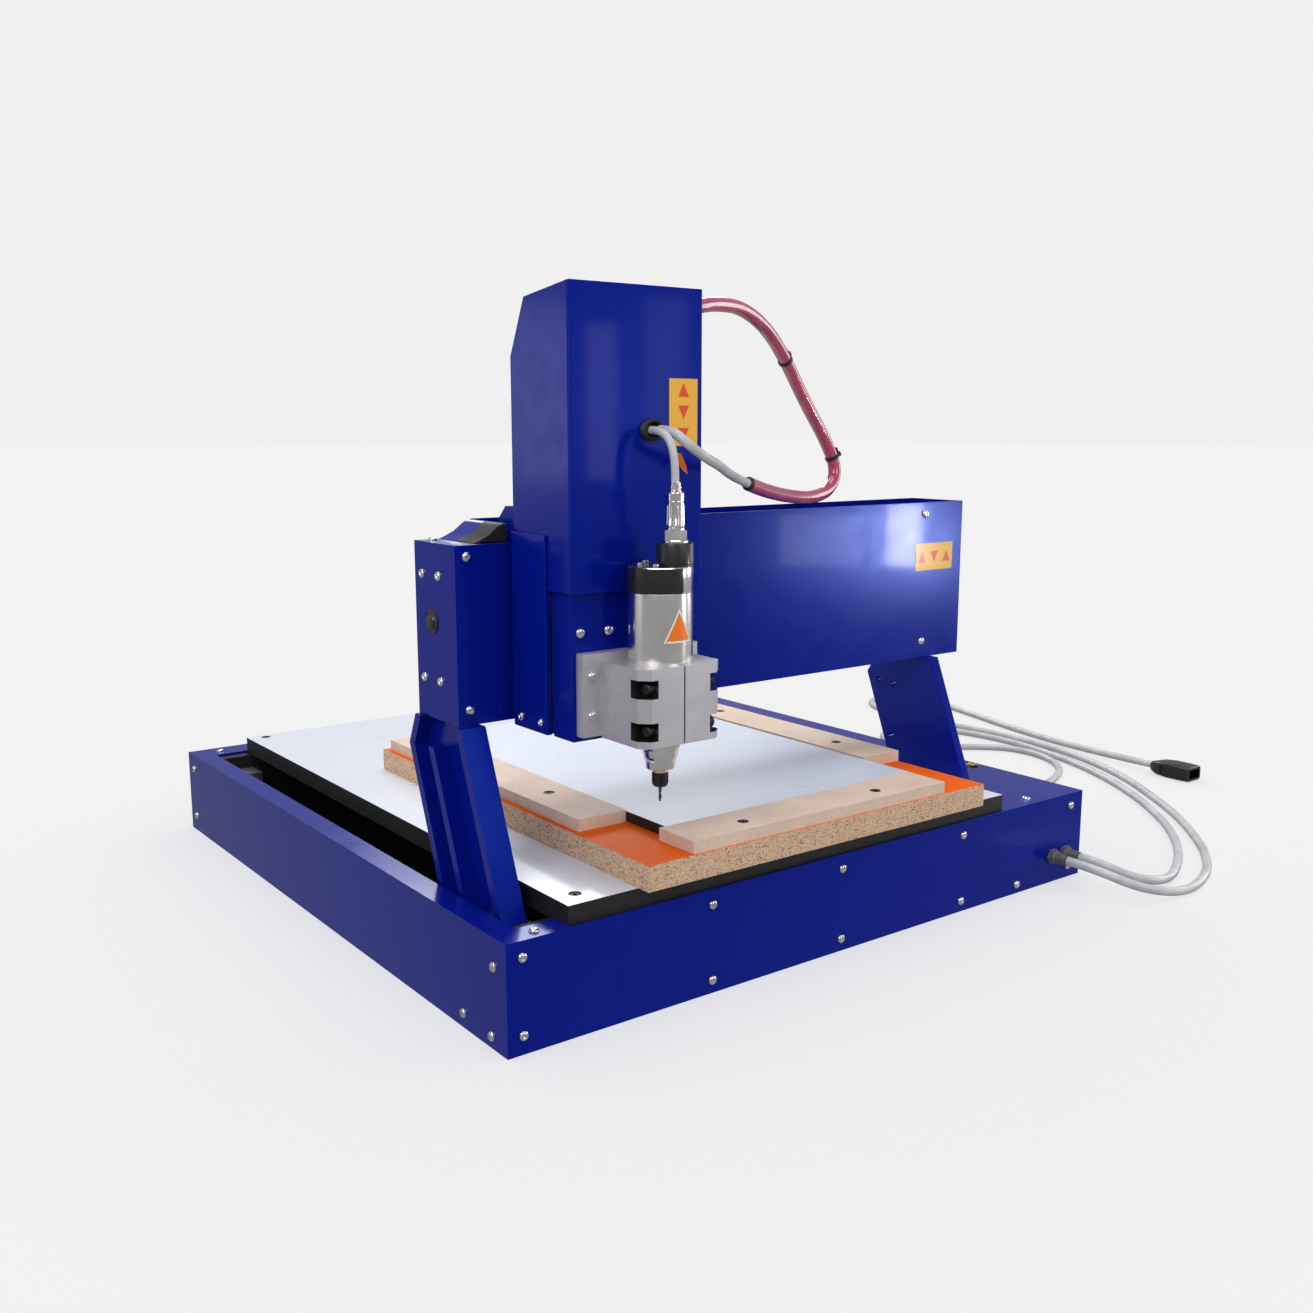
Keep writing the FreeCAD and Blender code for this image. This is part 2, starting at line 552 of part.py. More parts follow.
def y_carriages():
    """The bearing blocks on the guide shafts and the brace, with its nut, that joins them."""
    blocks = []
    for x in (left_shaft, right_shaft):
        body = block((f"{x} - block_width / 2", f"{x} + block_width / 2"),
                     ("block_front", "block_front + block_length"),
                     ("block_low", "block_top"))
        bore = rod("y", x, "block_front - 1", "shaft_height", "shaft_radius + bearing_clear",
                   "block_length + 2")
        blocks.append(cut(body, [bore]))
    part("y_carriage_blocks", group(blocks))
    brace = block((f"{left_shaft} + block_width / 2", f"{right_shaft} - block_width / 2"),
                  ("brace_front", "brace_front + brace_depth"), ("brace_low", "brace_high"))
    nut = block((f"{middle_x} - 20", f"{middle_x} + 20"), ("brace_front", "brace_front + brace_depth"),
                ("y_screw_height - 18", "brace_low"))
    bore = rod("y", middle_x, "brace_front - 1", "y_screw_height", "y_screw_radius + bearing_clear",
               "brace_depth + 2")
    part("cross_brace", cut(fuse([brace, nut]), [bore]))


def beam():
    """The hollow beam, its folded cover and the box at its left end."""
    x = (f"{left_web} + leg_wall", right_web)
    y = ("profile_front", "profile_front + profile_depth")
    outer = block(x, y, ("profile_low", "profile_high"))
    inner = block((f"{x[0]} - 1", f"{x[1]} + 1"), (f"{y[0]} + profile_wall", f"{y[1]} - profile_wall"),
                  ("profile_low + profile_wall", "profile_high - profile_wall"))
    part("beam_profile", cut(outer, [inner]))

    skin = block((box_right, "beam_right"), ("beam_front", beam_back), ("beam_low", "beam_high"))
    hollow = block((f"{box_right} - 1", "beam_right - sheet"),
                   ("beam_front + sheet", f"{beam_back} - sheet"),
                   ("beam_low + sheet", "beam_high + 1"))
    slot = block((f"{right_web} - 0.5", f"{right_web} + leg_wall + 0.5"),
                 ("beam_front + sheet", f"{beam_back} - sheet"),
                 ("beam_low - 1", "beam_low + sheet + 1"))
    holes = [bolt_hole("y", px, "beam_front - 1", pz, "sheet + 2") for px, pz in COVER_BOLTS[:2]]
    part("beam_cover", cut(skin, [hollow, slot] + holes))

    skin = block(("beam_left", box_right), ("beam_front", beam_back), ("beam_low", "end_box_high"))
    hollow = block(("beam_left + sheet", f"{box_right} + 1"),
                   ("beam_front + sheet", f"{beam_back} - sheet"),
                   ("beam_low - 1", "end_box_high - sheet"))
    holes = [bolt_hole("y", px, "beam_front - 1", pz, "sheet + 2") for px, pz in COVER_BOLTS[2:]]
    holes += [bolt_hole("x", "beam_left - 1", py, pz, "sheet + 2") for py, pz in END_BOLTS]
    holes.append(rod("x", "beam_left - 1", "203", "400", "bearing_hole", "sheet + 2"))
    part("beam_end_box", cut(skin, [hollow] + holes))


def x_feed():
    """The two rails on the beam, the screw between them, its mounts and its motor."""
    x = (f"{left_web} + leg_wall + 4", f"{right_web} - 4")
    rails = [block(x, (f"{y} - x_rail_width / 2", f"{y} + x_rail_width / 2"),
                   ("profile_high", "profile_high + x_rail_high")) for y in ("x_rail_front", "x_rail_back")]
    part("x_rails", group(rails))
    left_mount = f"{left_web} + leg_wall + 1"
    right_mount = f"{right_web} - 13 - x_mount_long"
    mounts = []
    for low in (left_mount, right_mount):
        body = block((low, f"{low} + x_mount_long"),
                     ("x_screw_y - x_mount_half", "x_screw_y + x_mount_half"),
                     ("profile_high", "x_screw_height + 9"))
        bore = rod("x", f"{low} - 1", "x_screw_y", "x_screw_height", "x_screw_radius + bearing_clear",
                   "x_mount_long + 2")
        mounts.append(cut(body, [bore]))
    cap = turned([("0", "0"), ("bearing_hole - 0.5", "0"), ("bearing_hole - 0.5", "8"),
                  ("bearing_hole * 0.6", "12.5"),
                  ("0", "13.5")], left_web, "203", "400", (0, 1, 0), -90)
    part("x_screw_mounts", group(mounts + [cap]))
    part("x_ball_screw", rod("x", left_mount, "x_screw_y", "x_screw_height", "x_screw_radius",
                             f"{right_web} + leg_wall - ({left_mount}) - 0.5"))
    motor = block((f"{right_web} + leg_wall", f"{right_web} + leg_wall + x_motor_long"),
                  ("x_screw_y - x_motor_side / 2", "x_screw_y + x_motor_side / 2"),
                  ("x_screw_height - x_motor_side / 2", "x_screw_height + x_motor_side / 2"))
    part("x_motor", motor)
    bolts = [bolt("front", px, "beam_front", pz) for px, pz in COVER_BOLTS]
    bolts += [bolt("left", "beam_left", py, pz) for py, pz in END_BOLTS]
    part("gantry_bolts", group(bolts))


# ---- X carriage and tower ------------------------------------------------------------------------------

def x_carriage():
    """The saddle on the beam, the plate in front of it and the cheeks."""
    blocks = []
    for y in ("x_rail_front", "x_rail_back"):
        for x in ("tower_x - saddle_half", "tower_x + saddle_half - x_block_long"):
            body = block((x, f"{x} + x_block_long"),
                         (f"{y} - x_block_width / 2", f"{y} + x_block_width / 2"),
                         ("saddle_low - x_block_high", "saddle_low"))
            groove = block((f"{x} - 1", f"{x} + x_block_long + 1"),
                           (f"{y} - x_rail_width / 2 - fit_gap", f"{y} + x_rail_width / 2 + fit_gap"),
                           ("saddle_low - x_block_high - 1", "profile_high + x_rail_high + fit_gap"))
            blocks.append(cut(body, [groove]))
    part("x_bearing_blocks", group(blocks))
    nut = block(("tower_x - 15", "tower_x + 15"), ("x_screw_y - 9.5", "x_screw_y + 9.5"),
                ("x_screw_height - 8.5", "saddle_low"))
    bore = rod("x", "tower_x - 16", "x_screw_y", "x_screw_height", "x_screw_radius + bearing_clear", "32")
    inner = "beam_front + sheet + 3"
    corners = [("tower_back", "arm_low"), (inner, "arm_low"), (inner, "saddle_low"),
               (f"{beam_back} - sheet - 2", "saddle_low"),
               (f"{beam_back} - sheet - 2", "saddle_low + 12"), ("x_screw_y", "arm_high"),
               ("tower_back", "arm_high")]
    casting = prism("YZ_Plane", [(corners, "tower_x - saddle_half", "tower_x + saddle_half")])
    part("saddle", cut(fuse([casting, nut]), [bore]))
    inside = (f"{tower_left} + tower_wall", f"{tower_right} - tower_wall")
    part("carriage_plate", block(inside, (plate_front, "tower_back"), ("tower_low", "plate_top")))
    left = block((f"{tower_left} - cheek_wall", tower_left), ("cheek_front", "tower_back"),
                 ("tower_low", "cheek_top"))
    right = block((tower_right, f"{tower_right} + cheek_wall"), ("cheek_front", "tower_back"),
                  ("tower_low", "cheek_top"))
    bracket = block((f"{tower_right} + cheek_wall", f"{tower_right} + cheek_wall + bracket_wide"),
                    ("bracket_front", "tower_back"), ("bracket_low", "bracket_high"))
    part("carriage_cheeks", group([left, fuse([right, bracket])]))


def tower():
    """The fixed tower: side walls with a sloped back, and the front cover."""
    front = "tower_front + sheet"
    side = [(front, "cover_low"), ("cheek_front", "cover_low"), ("cheek_front", "tower_low"),
            ("tower_back", "tower_low"),
            ("tower_back", "chamfer_low"), ("tower_back - chamfer_back", "tower_rear_top"),
            (front, "tower_top")]
    roof = [("tower_back", "plate_top"), ("tower_back", "chamfer_low"),
            ("tower_back - chamfer_back", "tower_rear_top"),
            (front, "tower_top"), (front, "tower_top - sheet"),
            ("tower_back - chamfer_back - 2", "tower_rear_top - sheet"),
            ("tower_back - sheet", "chamfer_low - 1"), ("tower_back - sheet", "plate_top")]
    inside = (f"{tower_left} + tower_wall", f"{tower_right} - tower_wall")
    left = prism("YZ_Plane", [(side, tower_left, inside[0])])
    right = prism("YZ_Plane", [(side, inside[1], tower_right)])
    back = prism("YZ_Plane", [(roof, inside[0], inside[1])])
    part("tower_housing", fuse([left, right, back]))
    cover = block((tower_left, tower_right), ("tower_front", front), ("cover_low", "tower_top"))
    hole = rod("y", "tower_x + grommet_x", "tower_front - 1", "grommet_height", "grommet_radius - 2",
               "sheet + 2")
    part("tower_front_cover", cut(cover, [hole]))


def z_feed():
    """The rails, screw, mounts and motor that the spindle slide runs on."""
    rails = []
    for side in (-1, 1):
        x = f"tower_x + {side} * z_rail_offset"
        rails.append(block((f"{x} - z_rail_wide / 2", f"{x} + z_rail_wide / 2"), (rail_front, plate_front),
                           ("z_rail_low", "z_rail_high")))
    part("z_rails", group(rails))
    mounts = []
    for low in ("z_mount_low", "z_mount_top"):
        body = block(("tower_x - z_mount_half", "tower_x + z_mount_half"), ("z_screw_y - 10", plate_front),
                     (low, f"{low} + z_mount_high"))
        bore = rod("z", "tower_x", "z_screw_y", f"{low} - 1", "z_screw_radius + bearing_clear",
                   "z_mount_high + 2")
        mounts.append(cut(body, [bore]))
    plate = block(("tower_x - 24", "tower_x + 24"), ("z_screw_y - z_motor_side / 2", plate_front),
                  ("plate_top - motor_plate", "plate_top"))
    mounts.append(cut(plate,
                      [rod("z", "tower_x", "z_screw_y", "plate_top - motor_plate - 1", "z_screw_radius + 3",
                           "motor_plate + 2")]))
    part("z_screw_mounts", group(mounts))
    part("z_ball_screw",
         rod("z", "tower_x", "z_screw_y", "z_screw_low", "z_screw_radius",
             "z_screw_high + 6 - z_screw_low"))
    motor = block(("tower_x - z_motor_side / 2", "tower_x + z_motor_side / 2"),
                  ("z_screw_y - z_motor_side / 2", "z_screw_y + z_motor_side / 2"),
                  ("plate_top", "plate_top + z_motor_high"))
    part("z_motor", motor)


def tower_cables():
    """The grommet and gland of the tower and the cable loop between them."""
    x = "tower_x + grommet_x"
    ring = turned([("0", "-sheet - 2"), ("grommet_radius - 2.2", "-sheet - 2"),
                   ("grommet_radius - 2.2", "0"),
                   ("grommet_radius", "0"), ("grommet_radius - 1", "5"), ("0", "8")],
                  x, "tower_front", "grommet_height", (1, 0, 0), 90)
    nut = turned([("0", "0"), ("9.5", "0"), ("9.5", "4"), ("7.6", "6.5"), ("0", "6.5")],
                 tower_right, "tower_gland_y", "tower_gland_height", (0, 1, 0), 90)
    part("tower_glands", group([ring, nut]))
    a = HARNESS_ROUTE[CONDUIT_FROM]
    b = HARNESS_ROUTE[CONDUIT_FROM + 1]
    seam = tuple((p + q) / 2 for p, q in zip(a, b))
    tube("harness_cable", HARNESS_ROUTE[:CONDUIT_FROM + 1] + [seam], HARNESS)
    tube("harness_conduit", [seam] + HARNESS_ROUTE[CONDUIT_FROM + 1:], CONDUIT)
    tube("spindle_lead", LEAD_ROUTE, LEAD)


# ---- spindle slide -------------------------------------------------------------------------------------

def spindle_slide():
    """The moving slide: its folded front plate, the hollow carrier, the bearing blocks and the nut."""
    left = f"{tower_left} + tower_wall + slide_gap"
    right = f"{tower_right} - tower_wall - slide_gap"
    back = "slide_front + slide_wall"
    corners = [(left, "slide_front"), (right, "slide_front"), (right, "slide_back"),
               (f"{right} - slide_flange", "slide_back"),
               (f"{right} - slide_flange", back), (f"{left} + slide_flange", back),
               (f"{left} + slide_flange", "slide_back"),
               (left, "slide_back")]
    plate = prism("XY_Plane", [(corners, "slide_low", "slide_high")])
    holes = [bolt_hole("y", f"tower_x + ({x})", "slide_front - 1", "400", "slide_wall + 2") for x in (-67,
                                                                                                      -33,
                                                                                                      33,
                                                                                                      67)]
    holes += [bolt_hole("y", f"tower_x + ({x})", "slide_front - 1", z, "slide_wall + 2") for x in (-61,
                                                                                                   61) for z in (317, 357)]
    part("spindle_plate", cut(plate, holes))
    x = ("tower_x - carrier_half", "tower_x + carrier_half")
    y = (back, f"z_screw_y - 12")
    outer = block(x, y, ("carrier_low", "carrier_high"))
    inner = block((f"{x[0]} + carrier_wall", f"{x[1]} - carrier_wall"),
                  (f"{y[0]} + carrier_wall", f"{y[1]} - carrier_wall"),
                  ("carrier_low - 1", "carrier_high + 1"))
    holes = [bolt_hole("y", f"tower_x + ({px})", f"{back} - 1", "400", "carrier_wall + 2") for px in (-33,
                                                                                                      33)]
    tube_part = cut(outer, [inner] + holes)
    blocks = []
    for side in (-1, 1):
        middle = f"tower_x + {side} * z_rail_offset"
        for low in ("z_block_low", "z_block_top"):
            body = block((f"{middle} - z_block_wide / 2", f"{middle} + z_block_wide / 2"),
                         (y[1], f"{plate_front} - 4"),
                         (low, f"{low} + z_block_high"))
            groove = block((f"{middle} - z_rail_wide / 2 - fit_gap",
                            f"{middle} + z_rail_wide / 2 + fit_gap"),
                           (f"{rail_front} - fit_gap", plate_front),
                           (f"{low} - 1", f"{low} + z_block_high + 1"))
            blocks.append(cut(body, [groove]))
    part("z_bearing_blocks", group(blocks))
    nut = block(("tower_x - z_mount_half + 6", "tower_x + z_mount_half - 6"), (y[1], f"z_screw_y + 14"),
                ("nut_low", "nut_high"))
    bore = rod("z", "tower_x", "z_screw_y", "nut_low - 1", "z_screw_radius + bearing_clear",
               "nut_high - nut_low + 2")
    part("slide_carrier", cut(fuse([tube_part, nut]), [bore]))


def clamp():
    """The split block that holds the spindle, with notches for its screws."""
    front = "clamp_front"
    left = "tower_x - clamp_half"
    right = "tower_x + clamp_half"
    face = "slide_front - flange_wall"
    corners = [(f"{left} + clamp_chamfer", front), (f"{right} - clamp_chamfer", front),
               (right, f"{front} + clamp_chamfer"),
               (right, face), (left, face), (left, f"{front} + clamp_chamfer")]
    body = prism("XY_Plane", [(corners, "clamp_low", "clamp_high")])
    flange = block(("tower_x - flange_half", "tower_x + flange_half"), (face, "slide_front"),
                   ("flange_low", "flange_high"))
    bore = rod("z", "tower_x", "spindle_y", "clamp_low - 10", "spindle_radius + clamp_fit",
               "flange_high - clamp_low + 20")
    slit = block(("tower_x - clamp_slit / 2", "tower_x + clamp_slit / 2"), (f"{front} - 1", "spindle_y"),
                 ("clamp_low - 1", "clamp_high + 1"))
    tools = [bore, slit]
    screws = []
    for low in ("pocket_low", "pocket_top"):
        for x in ((f"{left} - 1", f"{left} + pocket_wide"), (f"{right} - pocket_wide", f"{right} + 1")):
            tools.append(block(x, (f"{front} - 1", f"{front} + pocket_deep"),
                               (low, f"{low} + pocket_high")))
        height = f"{low} + pocket_high / 2"
        y = f"{front} + 3.8"
        tools.append(rod("x", left, y, height, "2.1", "2 * clamp_half"))
        shank = rod("x", f"{left} + pocket_wide - 5", y, height, "2",
                    "2 * clamp_half - 2 * pocket_wide + 10")
        head = rod("x", f"{left} + pocket_wide - 5", y, height, "3.4", "5")
        screws.append(fuse([shank, head]))
    holes = [bolt_hole("y", f"tower_x + ({x})", f"{face} - 1", z, "flange_wall + 2") for x in (-61,
                                                                                               61) for z in (317, 357)]
    part("spindle_clamp", cut(fuse([body, flange]), tools + holes))
    bolts = [bolt("front", f"tower_x + ({x})", face, z) for x in (-61, 61) for z in (317, 357)]
    bolts += [bolt("front", f"tower_x + ({x})", "slide_front", "400") for x in (-67, -33, 33, 67)]
    part("slide_bolts", group(bolts + screws))


def spindle():
    """The spindle motor: body, nose, cap, connector, and the shaft with its collet nut and bit."""
    x, y = "tower_x", "spindle_y"
    low = "body_low"
    body = [("rotor_shaft + 8", low), ("spindle_radius", low), ("spindle_radius", "body_high"),
            ("0", "body_high"),
            ("0", "body_high - 6"), ("spindle_radius - 3.5", "body_high - 6"),
            ("spindle_radius - 3.5", f"{low} + 12"),
            ("rotor_shaft + 8", f"{low} + 12")]
    part("spindle_body", turned(body, x, y, "0"))
    nose_low = f"{low} - nose_high"
    nose = [("shaft_bore", nose_low), ("nose_low_radius - 2", nose_low),
            ("nose_low_radius", f"{nose_low} + 2"),
            ("nose_low_radius + 2", f"{nose_low} + 12"), ("nose_top_radius - 2", f"{nose_low} + 16"),
            ("nose_top_radius", f"{nose_low} + 20"), ("nose_top_radius", low), ("shaft_bore", low)]
    part("spindle_nose", turned(nose, x, y, "0"))
    cap_top = "body_high + cap_high"
    cap = [("0", "body_high"), ("spindle_radius", "body_high"), ("spindle_radius", f"{cap_top} - 2"),
           ("spindle_radius - 2", cap_top), ("0", cap_top)]
    boss = rod("z", f"{x} + boss_x", f"{y} + boss_y", f"{cap_top} - 1", "boss_radius", "boss_high + 1")
    part("spindle_cap", fuse([turned(cap, x, y, "0"), boss]))
    seat = f"{cap_top} + boss_high"
    plug = [("0", "0"), ("9", "0"), ("9", "4"), ("7.5", "5"), ("7.5", "16"), ("9.5", "17"), ("9.5", "30"),
            ("11.5", "31"),
            ("11.5", "37"), ("8", "39"), ("6.5", "58.5"), ("0", "58.5")]
    connector = turned(plug, f"{x} + boss_x", f"{y} + boss_y", seat)
    fittings = [rod("z", f"{x} + ({dx})", f"{y} + ({dy})", cap_top, r, "9") for dx, dy,
                r in ((-20, 2, 4), (-14, 14, 3.4))]
    part("spindle_connector", group([connector] + fittings))
    shaft = [("0", f"{nose_low} - 4"), ("rotor_shaft", f"{nose_low} - 4"), ("rotor_shaft", f"{low} + 30"),
             ("rotor_radius", f"{low} + 31"), ("rotor_radius", "body_high - 34"),
             ("rotor_shaft", "body_high - 33"),
             ("rotor_shaft", "body_high - 8"), ("0", "body_high - 8")]
    part("rotor_shaft_core", turned(shaft, x, y, "0"))
    nut_top = f"{nose_low} - 4"
    nut = [("0", f"{nut_top} - collet_high"), ("nut_radius - 2.5", f"{nut_top} - collet_high"),
           ("nut_radius", f"{nut_top} - collet_high + 4"), ("nut_radius", nut_top), ("0", nut_top)]
    part("collet_nut", turned(nut, x, y, "0"))
    tip = f"{nut_top} - collet_high - bit_long"
    part("tool_bit", turned([("0", tip), ("bit_radius", f"{tip} + 1"), ("bit_radius", f"{tip} + bit_long"),
                             ("0", f"{tip} + bit_long")], x, y, "0"))


def build():
    """Every sub-part in turn."""
    for step in (base_panels, base_frame, table, work_holding, y_feed, base_fasteners, base_cables, legs,
                 y_carriages, beam, x_feed, x_carriage, tower, z_feed, tower_cables, spindle_slide, clamp,
                 spindle):
        step()
    doc.recompute()


def check_and_export():
    """Stop on any failed object, then write one file for each sub-part."""
    for thing in doc.Objects:
        if {"Invalid", "Error"} & set(thing.State):
            raise RuntimeError(f"{thing.Name} ({thing.Label}) failed: {thing.State}")
    os.makedirs("parts", exist_ok=True)
    for thing in parts:
        shape = thing.Shape
        if shape.isNull() or not shape.isValid() or not shape.Solids:
            raise RuntimeError(f"{thing.Label} has no valid shape")
    for thing in parts:
        thing.Shape.exportStep(f"parts/{thing.Label}.step")
    print(len(parts), "sub-parts")


build()
check_and_export()
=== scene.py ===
"""The visible model of a bench-top moving-gantry router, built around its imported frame."""
import json
import logging
import math
from collections.abc import Callable, Iterable, Sequence
from dataclasses import dataclass, field
from enum import Enum

import bmesh
import bpy
from mathutils import Euler, Matrix, Vector


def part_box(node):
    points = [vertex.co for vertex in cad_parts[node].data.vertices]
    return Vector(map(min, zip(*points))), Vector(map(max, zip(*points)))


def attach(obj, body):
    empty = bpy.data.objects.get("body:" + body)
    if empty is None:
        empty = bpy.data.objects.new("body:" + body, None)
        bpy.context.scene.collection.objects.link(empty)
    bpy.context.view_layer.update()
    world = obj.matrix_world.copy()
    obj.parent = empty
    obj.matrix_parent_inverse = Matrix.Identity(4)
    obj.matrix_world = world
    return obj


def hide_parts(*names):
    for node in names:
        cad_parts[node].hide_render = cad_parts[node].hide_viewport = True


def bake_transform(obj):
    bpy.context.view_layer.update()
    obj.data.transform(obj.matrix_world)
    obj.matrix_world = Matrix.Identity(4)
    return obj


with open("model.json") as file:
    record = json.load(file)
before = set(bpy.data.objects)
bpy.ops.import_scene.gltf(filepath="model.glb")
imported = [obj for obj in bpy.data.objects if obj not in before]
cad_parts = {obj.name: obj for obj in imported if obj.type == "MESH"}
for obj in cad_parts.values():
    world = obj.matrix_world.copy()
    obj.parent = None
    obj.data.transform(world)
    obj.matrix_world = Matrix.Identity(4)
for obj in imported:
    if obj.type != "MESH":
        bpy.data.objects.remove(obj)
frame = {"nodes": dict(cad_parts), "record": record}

LOG = logging.getLogger("router")
MM = 0.001
BASE_FRONT = -0.47
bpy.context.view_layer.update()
BODY_OF = {node: body for body, nodes in frame["record"]["behaviour"]["bodies"].items() for node in nodes}
LEFT, RIGHT = Vector((-1.0, 0.0, 0.0)), Vector((1.0, 0.0, 0.0))
FRONT, BACK = Vector((0.0, -1.0, 0.0)), Vector((0.0, 1.0, 0.0))
UP = Vector((0.0, 0.0, 1.0))
Colour = tuple[float, float, float]
Point = tuple[float, float, float]
Profile = Sequence[tuple[float, float]]
Material = bpy.types.Material
Mesh = bmesh.types.BMesh
Socket = bpy.types.NodeSocket
Thing = bpy.types.Object


def at(x: float, y: float, z: float) -> Vector:
    """A point in metres from millimetres, with y measured from the base's front face."""
    return Vector((x * MM, BASE_FRONT + y * MM, z * MM))


# ---- finishes

class Grain(Enum):
    """The way that a metal's brushing runs."""

    NONE = (1.0, 1.0, 1.0)
    ALONG_X = (0.03, 1.0, 1.0)
    ALONG_Y = (1.0, 0.03, 1.0)
    ROUND_Z = (0.03, 0.03, 1.0)


MIDDLE = (0.3, 0.7)


class ShaderGraph:
    """One material under construction, with short calls for the nodes that the finishes share."""

    def __init__(self, name: str) -> None:
        """Makes the material with an empty principled shader.

        Args:
            name: The material's name.
        """
        self.material = bpy.data.materials.new(name)
        self.material.use_nodes = True
        self.tree = self.material.node_tree
        self.shader = self.tree.nodes["Principled BSDF"]
        self.place = self.tree.nodes.new("ShaderNodeTexCoord").outputs["Object"]

    def set(self, **values: float | Colour) -> None:
        """Sets the shader's own sockets; an underscore in a name stands for a space.

        Args:
            values: The sockets' values, by name.
        """
        for key, value in values.items():
            socket = self.shader.inputs[key.replace("_", " ")]
            socket.default_value = (*value, 1.0) if isinstance(value, tuple) else value

    def add(self, kind: str, output: str, links: dict[str, Socket], **values: float | Colour) -> Socket:
        """Adds a node.

        Args:
            kind: The node's type, without its usual first word.
            output: The output that is wanted.
            links: The inputs that are linked, by name.
            values: The inputs that are constants; an underscore stands for a space.

        Returns:
            The output's socket.
        """
        node = self.tree.nodes.new(f"ShaderNode{kind}")
        for key, value in values.items():
            node.inputs[key.replace("_", " ")].default_value = value
        for key, source in links.items():
            self.tree.links.new(source, node.inputs[key])
        return node.outputs[output]

    def stretched(self, scale: Colour) -> Socket:
        """The object coordinates times a scale along each axis."""
        return self.add("Mapping", "Vector", {"Vector": self.place}, Scale=scale)

    def noise(self, scale: float, detail: float = 3.0, rough: float = 0.5,
              vector: Socket | None = None) -> Socket:
        """A fractal noise.

        Args:
            scale: Features per metre.
            detail: Octaves.
            rough: How strong the fine octaves are.
            vector: The coordinates, or the object's own.

        Returns:
            The noise's factor.
        """
        return self.add("TexNoise", "Fac", {"Vector": vector or self.place}, Scale=scale, Detail=detail,
                        Roughness=rough)

    def cells(self, scale: float, vector: Socket | None = None, output: str = "Color") -> Socket:
        """A Voronoi pattern's output at so many cells per metre."""
        return self.add("TexVoronoi", output, {"Vector": vector or self.place}, Scale=scale)

    def ramp(self, factor: Socket, stops: Sequence[tuple[float, Colour]]) -> Socket:
        """A colour ramp.

        Args:
            factor: What drives it.
            stops: Pairs of position and colour, in order.

        Returns:
            The ramp's colour.
        """
        node = self.tree.nodes.new("ShaderNodeValToRGB")
        elements = node.color_ramp.elements
        while len(elements) < len(stops):
            elements.new(0.5)
        for element, (position, colour) in zip(elements, stops):
            element.position = position
            element.color = (*colour, 1.0)
        self.tree.links.new(factor, node.inputs["Fac"])
        return node.outputs["Color"]

    def mottled(self, factor: Socket, colour: Colour, low: float, high: float) -> Socket:
        """The colour between a darker and a lighter tone of it, over a noise's middle range."""
        return self.ramp(factor, [(MIDDLE[0], toned(colour, low)), (MIDDLE[1], toned(colour, high))])

    def spread(self, factor: Socket, low: float, high: float) -> Socket:
        """A noise's middle range mapped to run from low to high."""
        return self.add("MapRange", "Result", {"Value": factor}, From_Min=MIDDLE[0], From_Max=MIDDLE[1],
                        To_Min=low, To_Max=high)

    def colour(self, source: Socket) -> None:
        """Links the base colour."""
        self.tree.links.new(source, self.shader.inputs["Base Color"])

    def rough(self, source: Socket) -> None:
        """Links the roughness."""
        self.tree.links.new(source, self.shader.inputs["Roughness"])

    def bump(self, height: Socket, strength: float, distance: float) -> None:
        """Adds a bump on top of any that the shader already has.

        Args:
            height: The relief's height from 0 to 1.
            strength: How much of it shows.
            distance: Its full depth in metres.
        """
        before = self.shader.inputs["Normal"].links
        links = {"Normal": before[0].from_socket} if before else {}
        relief = self.add("Bump", "Normal", {"Height": height} | links, Strength=strength, Distance=distance)
        self.tree.links.new(relief, self.shader.inputs["Normal"])


def toned(colour: Colour, factor: float) -> Colour:
    """The colour made lighter or darker by a factor."""
    return tuple(min(1.0, part * factor) for part in colour)


@dataclass(frozen=True)
class Finish:
    """A finish with its material's name and main colour."""

    name: str
    colour: Colour

    def build(self) -> Material:
        """Makes the material.

        Returns:
            The finished material.
        """
        graph = ShaderGraph(self.name)
        self.shade(graph)
        return graph.material

    def shade(self, graph: ShaderGraph) -> None:
        """Sets and links the shader's sockets."""
        raise NotImplementedError


@dataclass(frozen=True)
class Paint(Finish):
    """Sprayed paint on sheet metal: faint orange peel, cloudy gloss and small dust nibs."""

    gloss: float = 0.2
    coat: float = 0.09
    tint: Colour = (0.04, 0.17, 1.0)
    peel: float = 0.015

    def shade(self, graph: ShaderGraph) -> None:
        """Sets and links the shader's sockets.

        Args:
            graph: The material's graph.
        """
        graph.colour(graph.mottled(graph.noise(7.0, 4.0), self.colour, 0.95, 1.05))
        graph.rough(graph.spread(graph.noise(38.0, 5.0, 0.6), self.gloss - 0.03, self.gloss + 0.04))
        graph.set(Coat_Weight=self.coat, Coat_Roughness=0.05, Specular_IOR_Level=0.5,
                  Specular_Tint=self.tint)
        graph.bump(graph.noise(420.0, 2.0), self.peel, 0.0006)
        nibs = [(0.0, (1.0, 1.0, 1.0)), (0.03, (0.0, 0.0, 0.0))]
        graph.bump(graph.ramp(graph.cells(95.0, output="Distance"), nibs), 0.03, 0.0002)


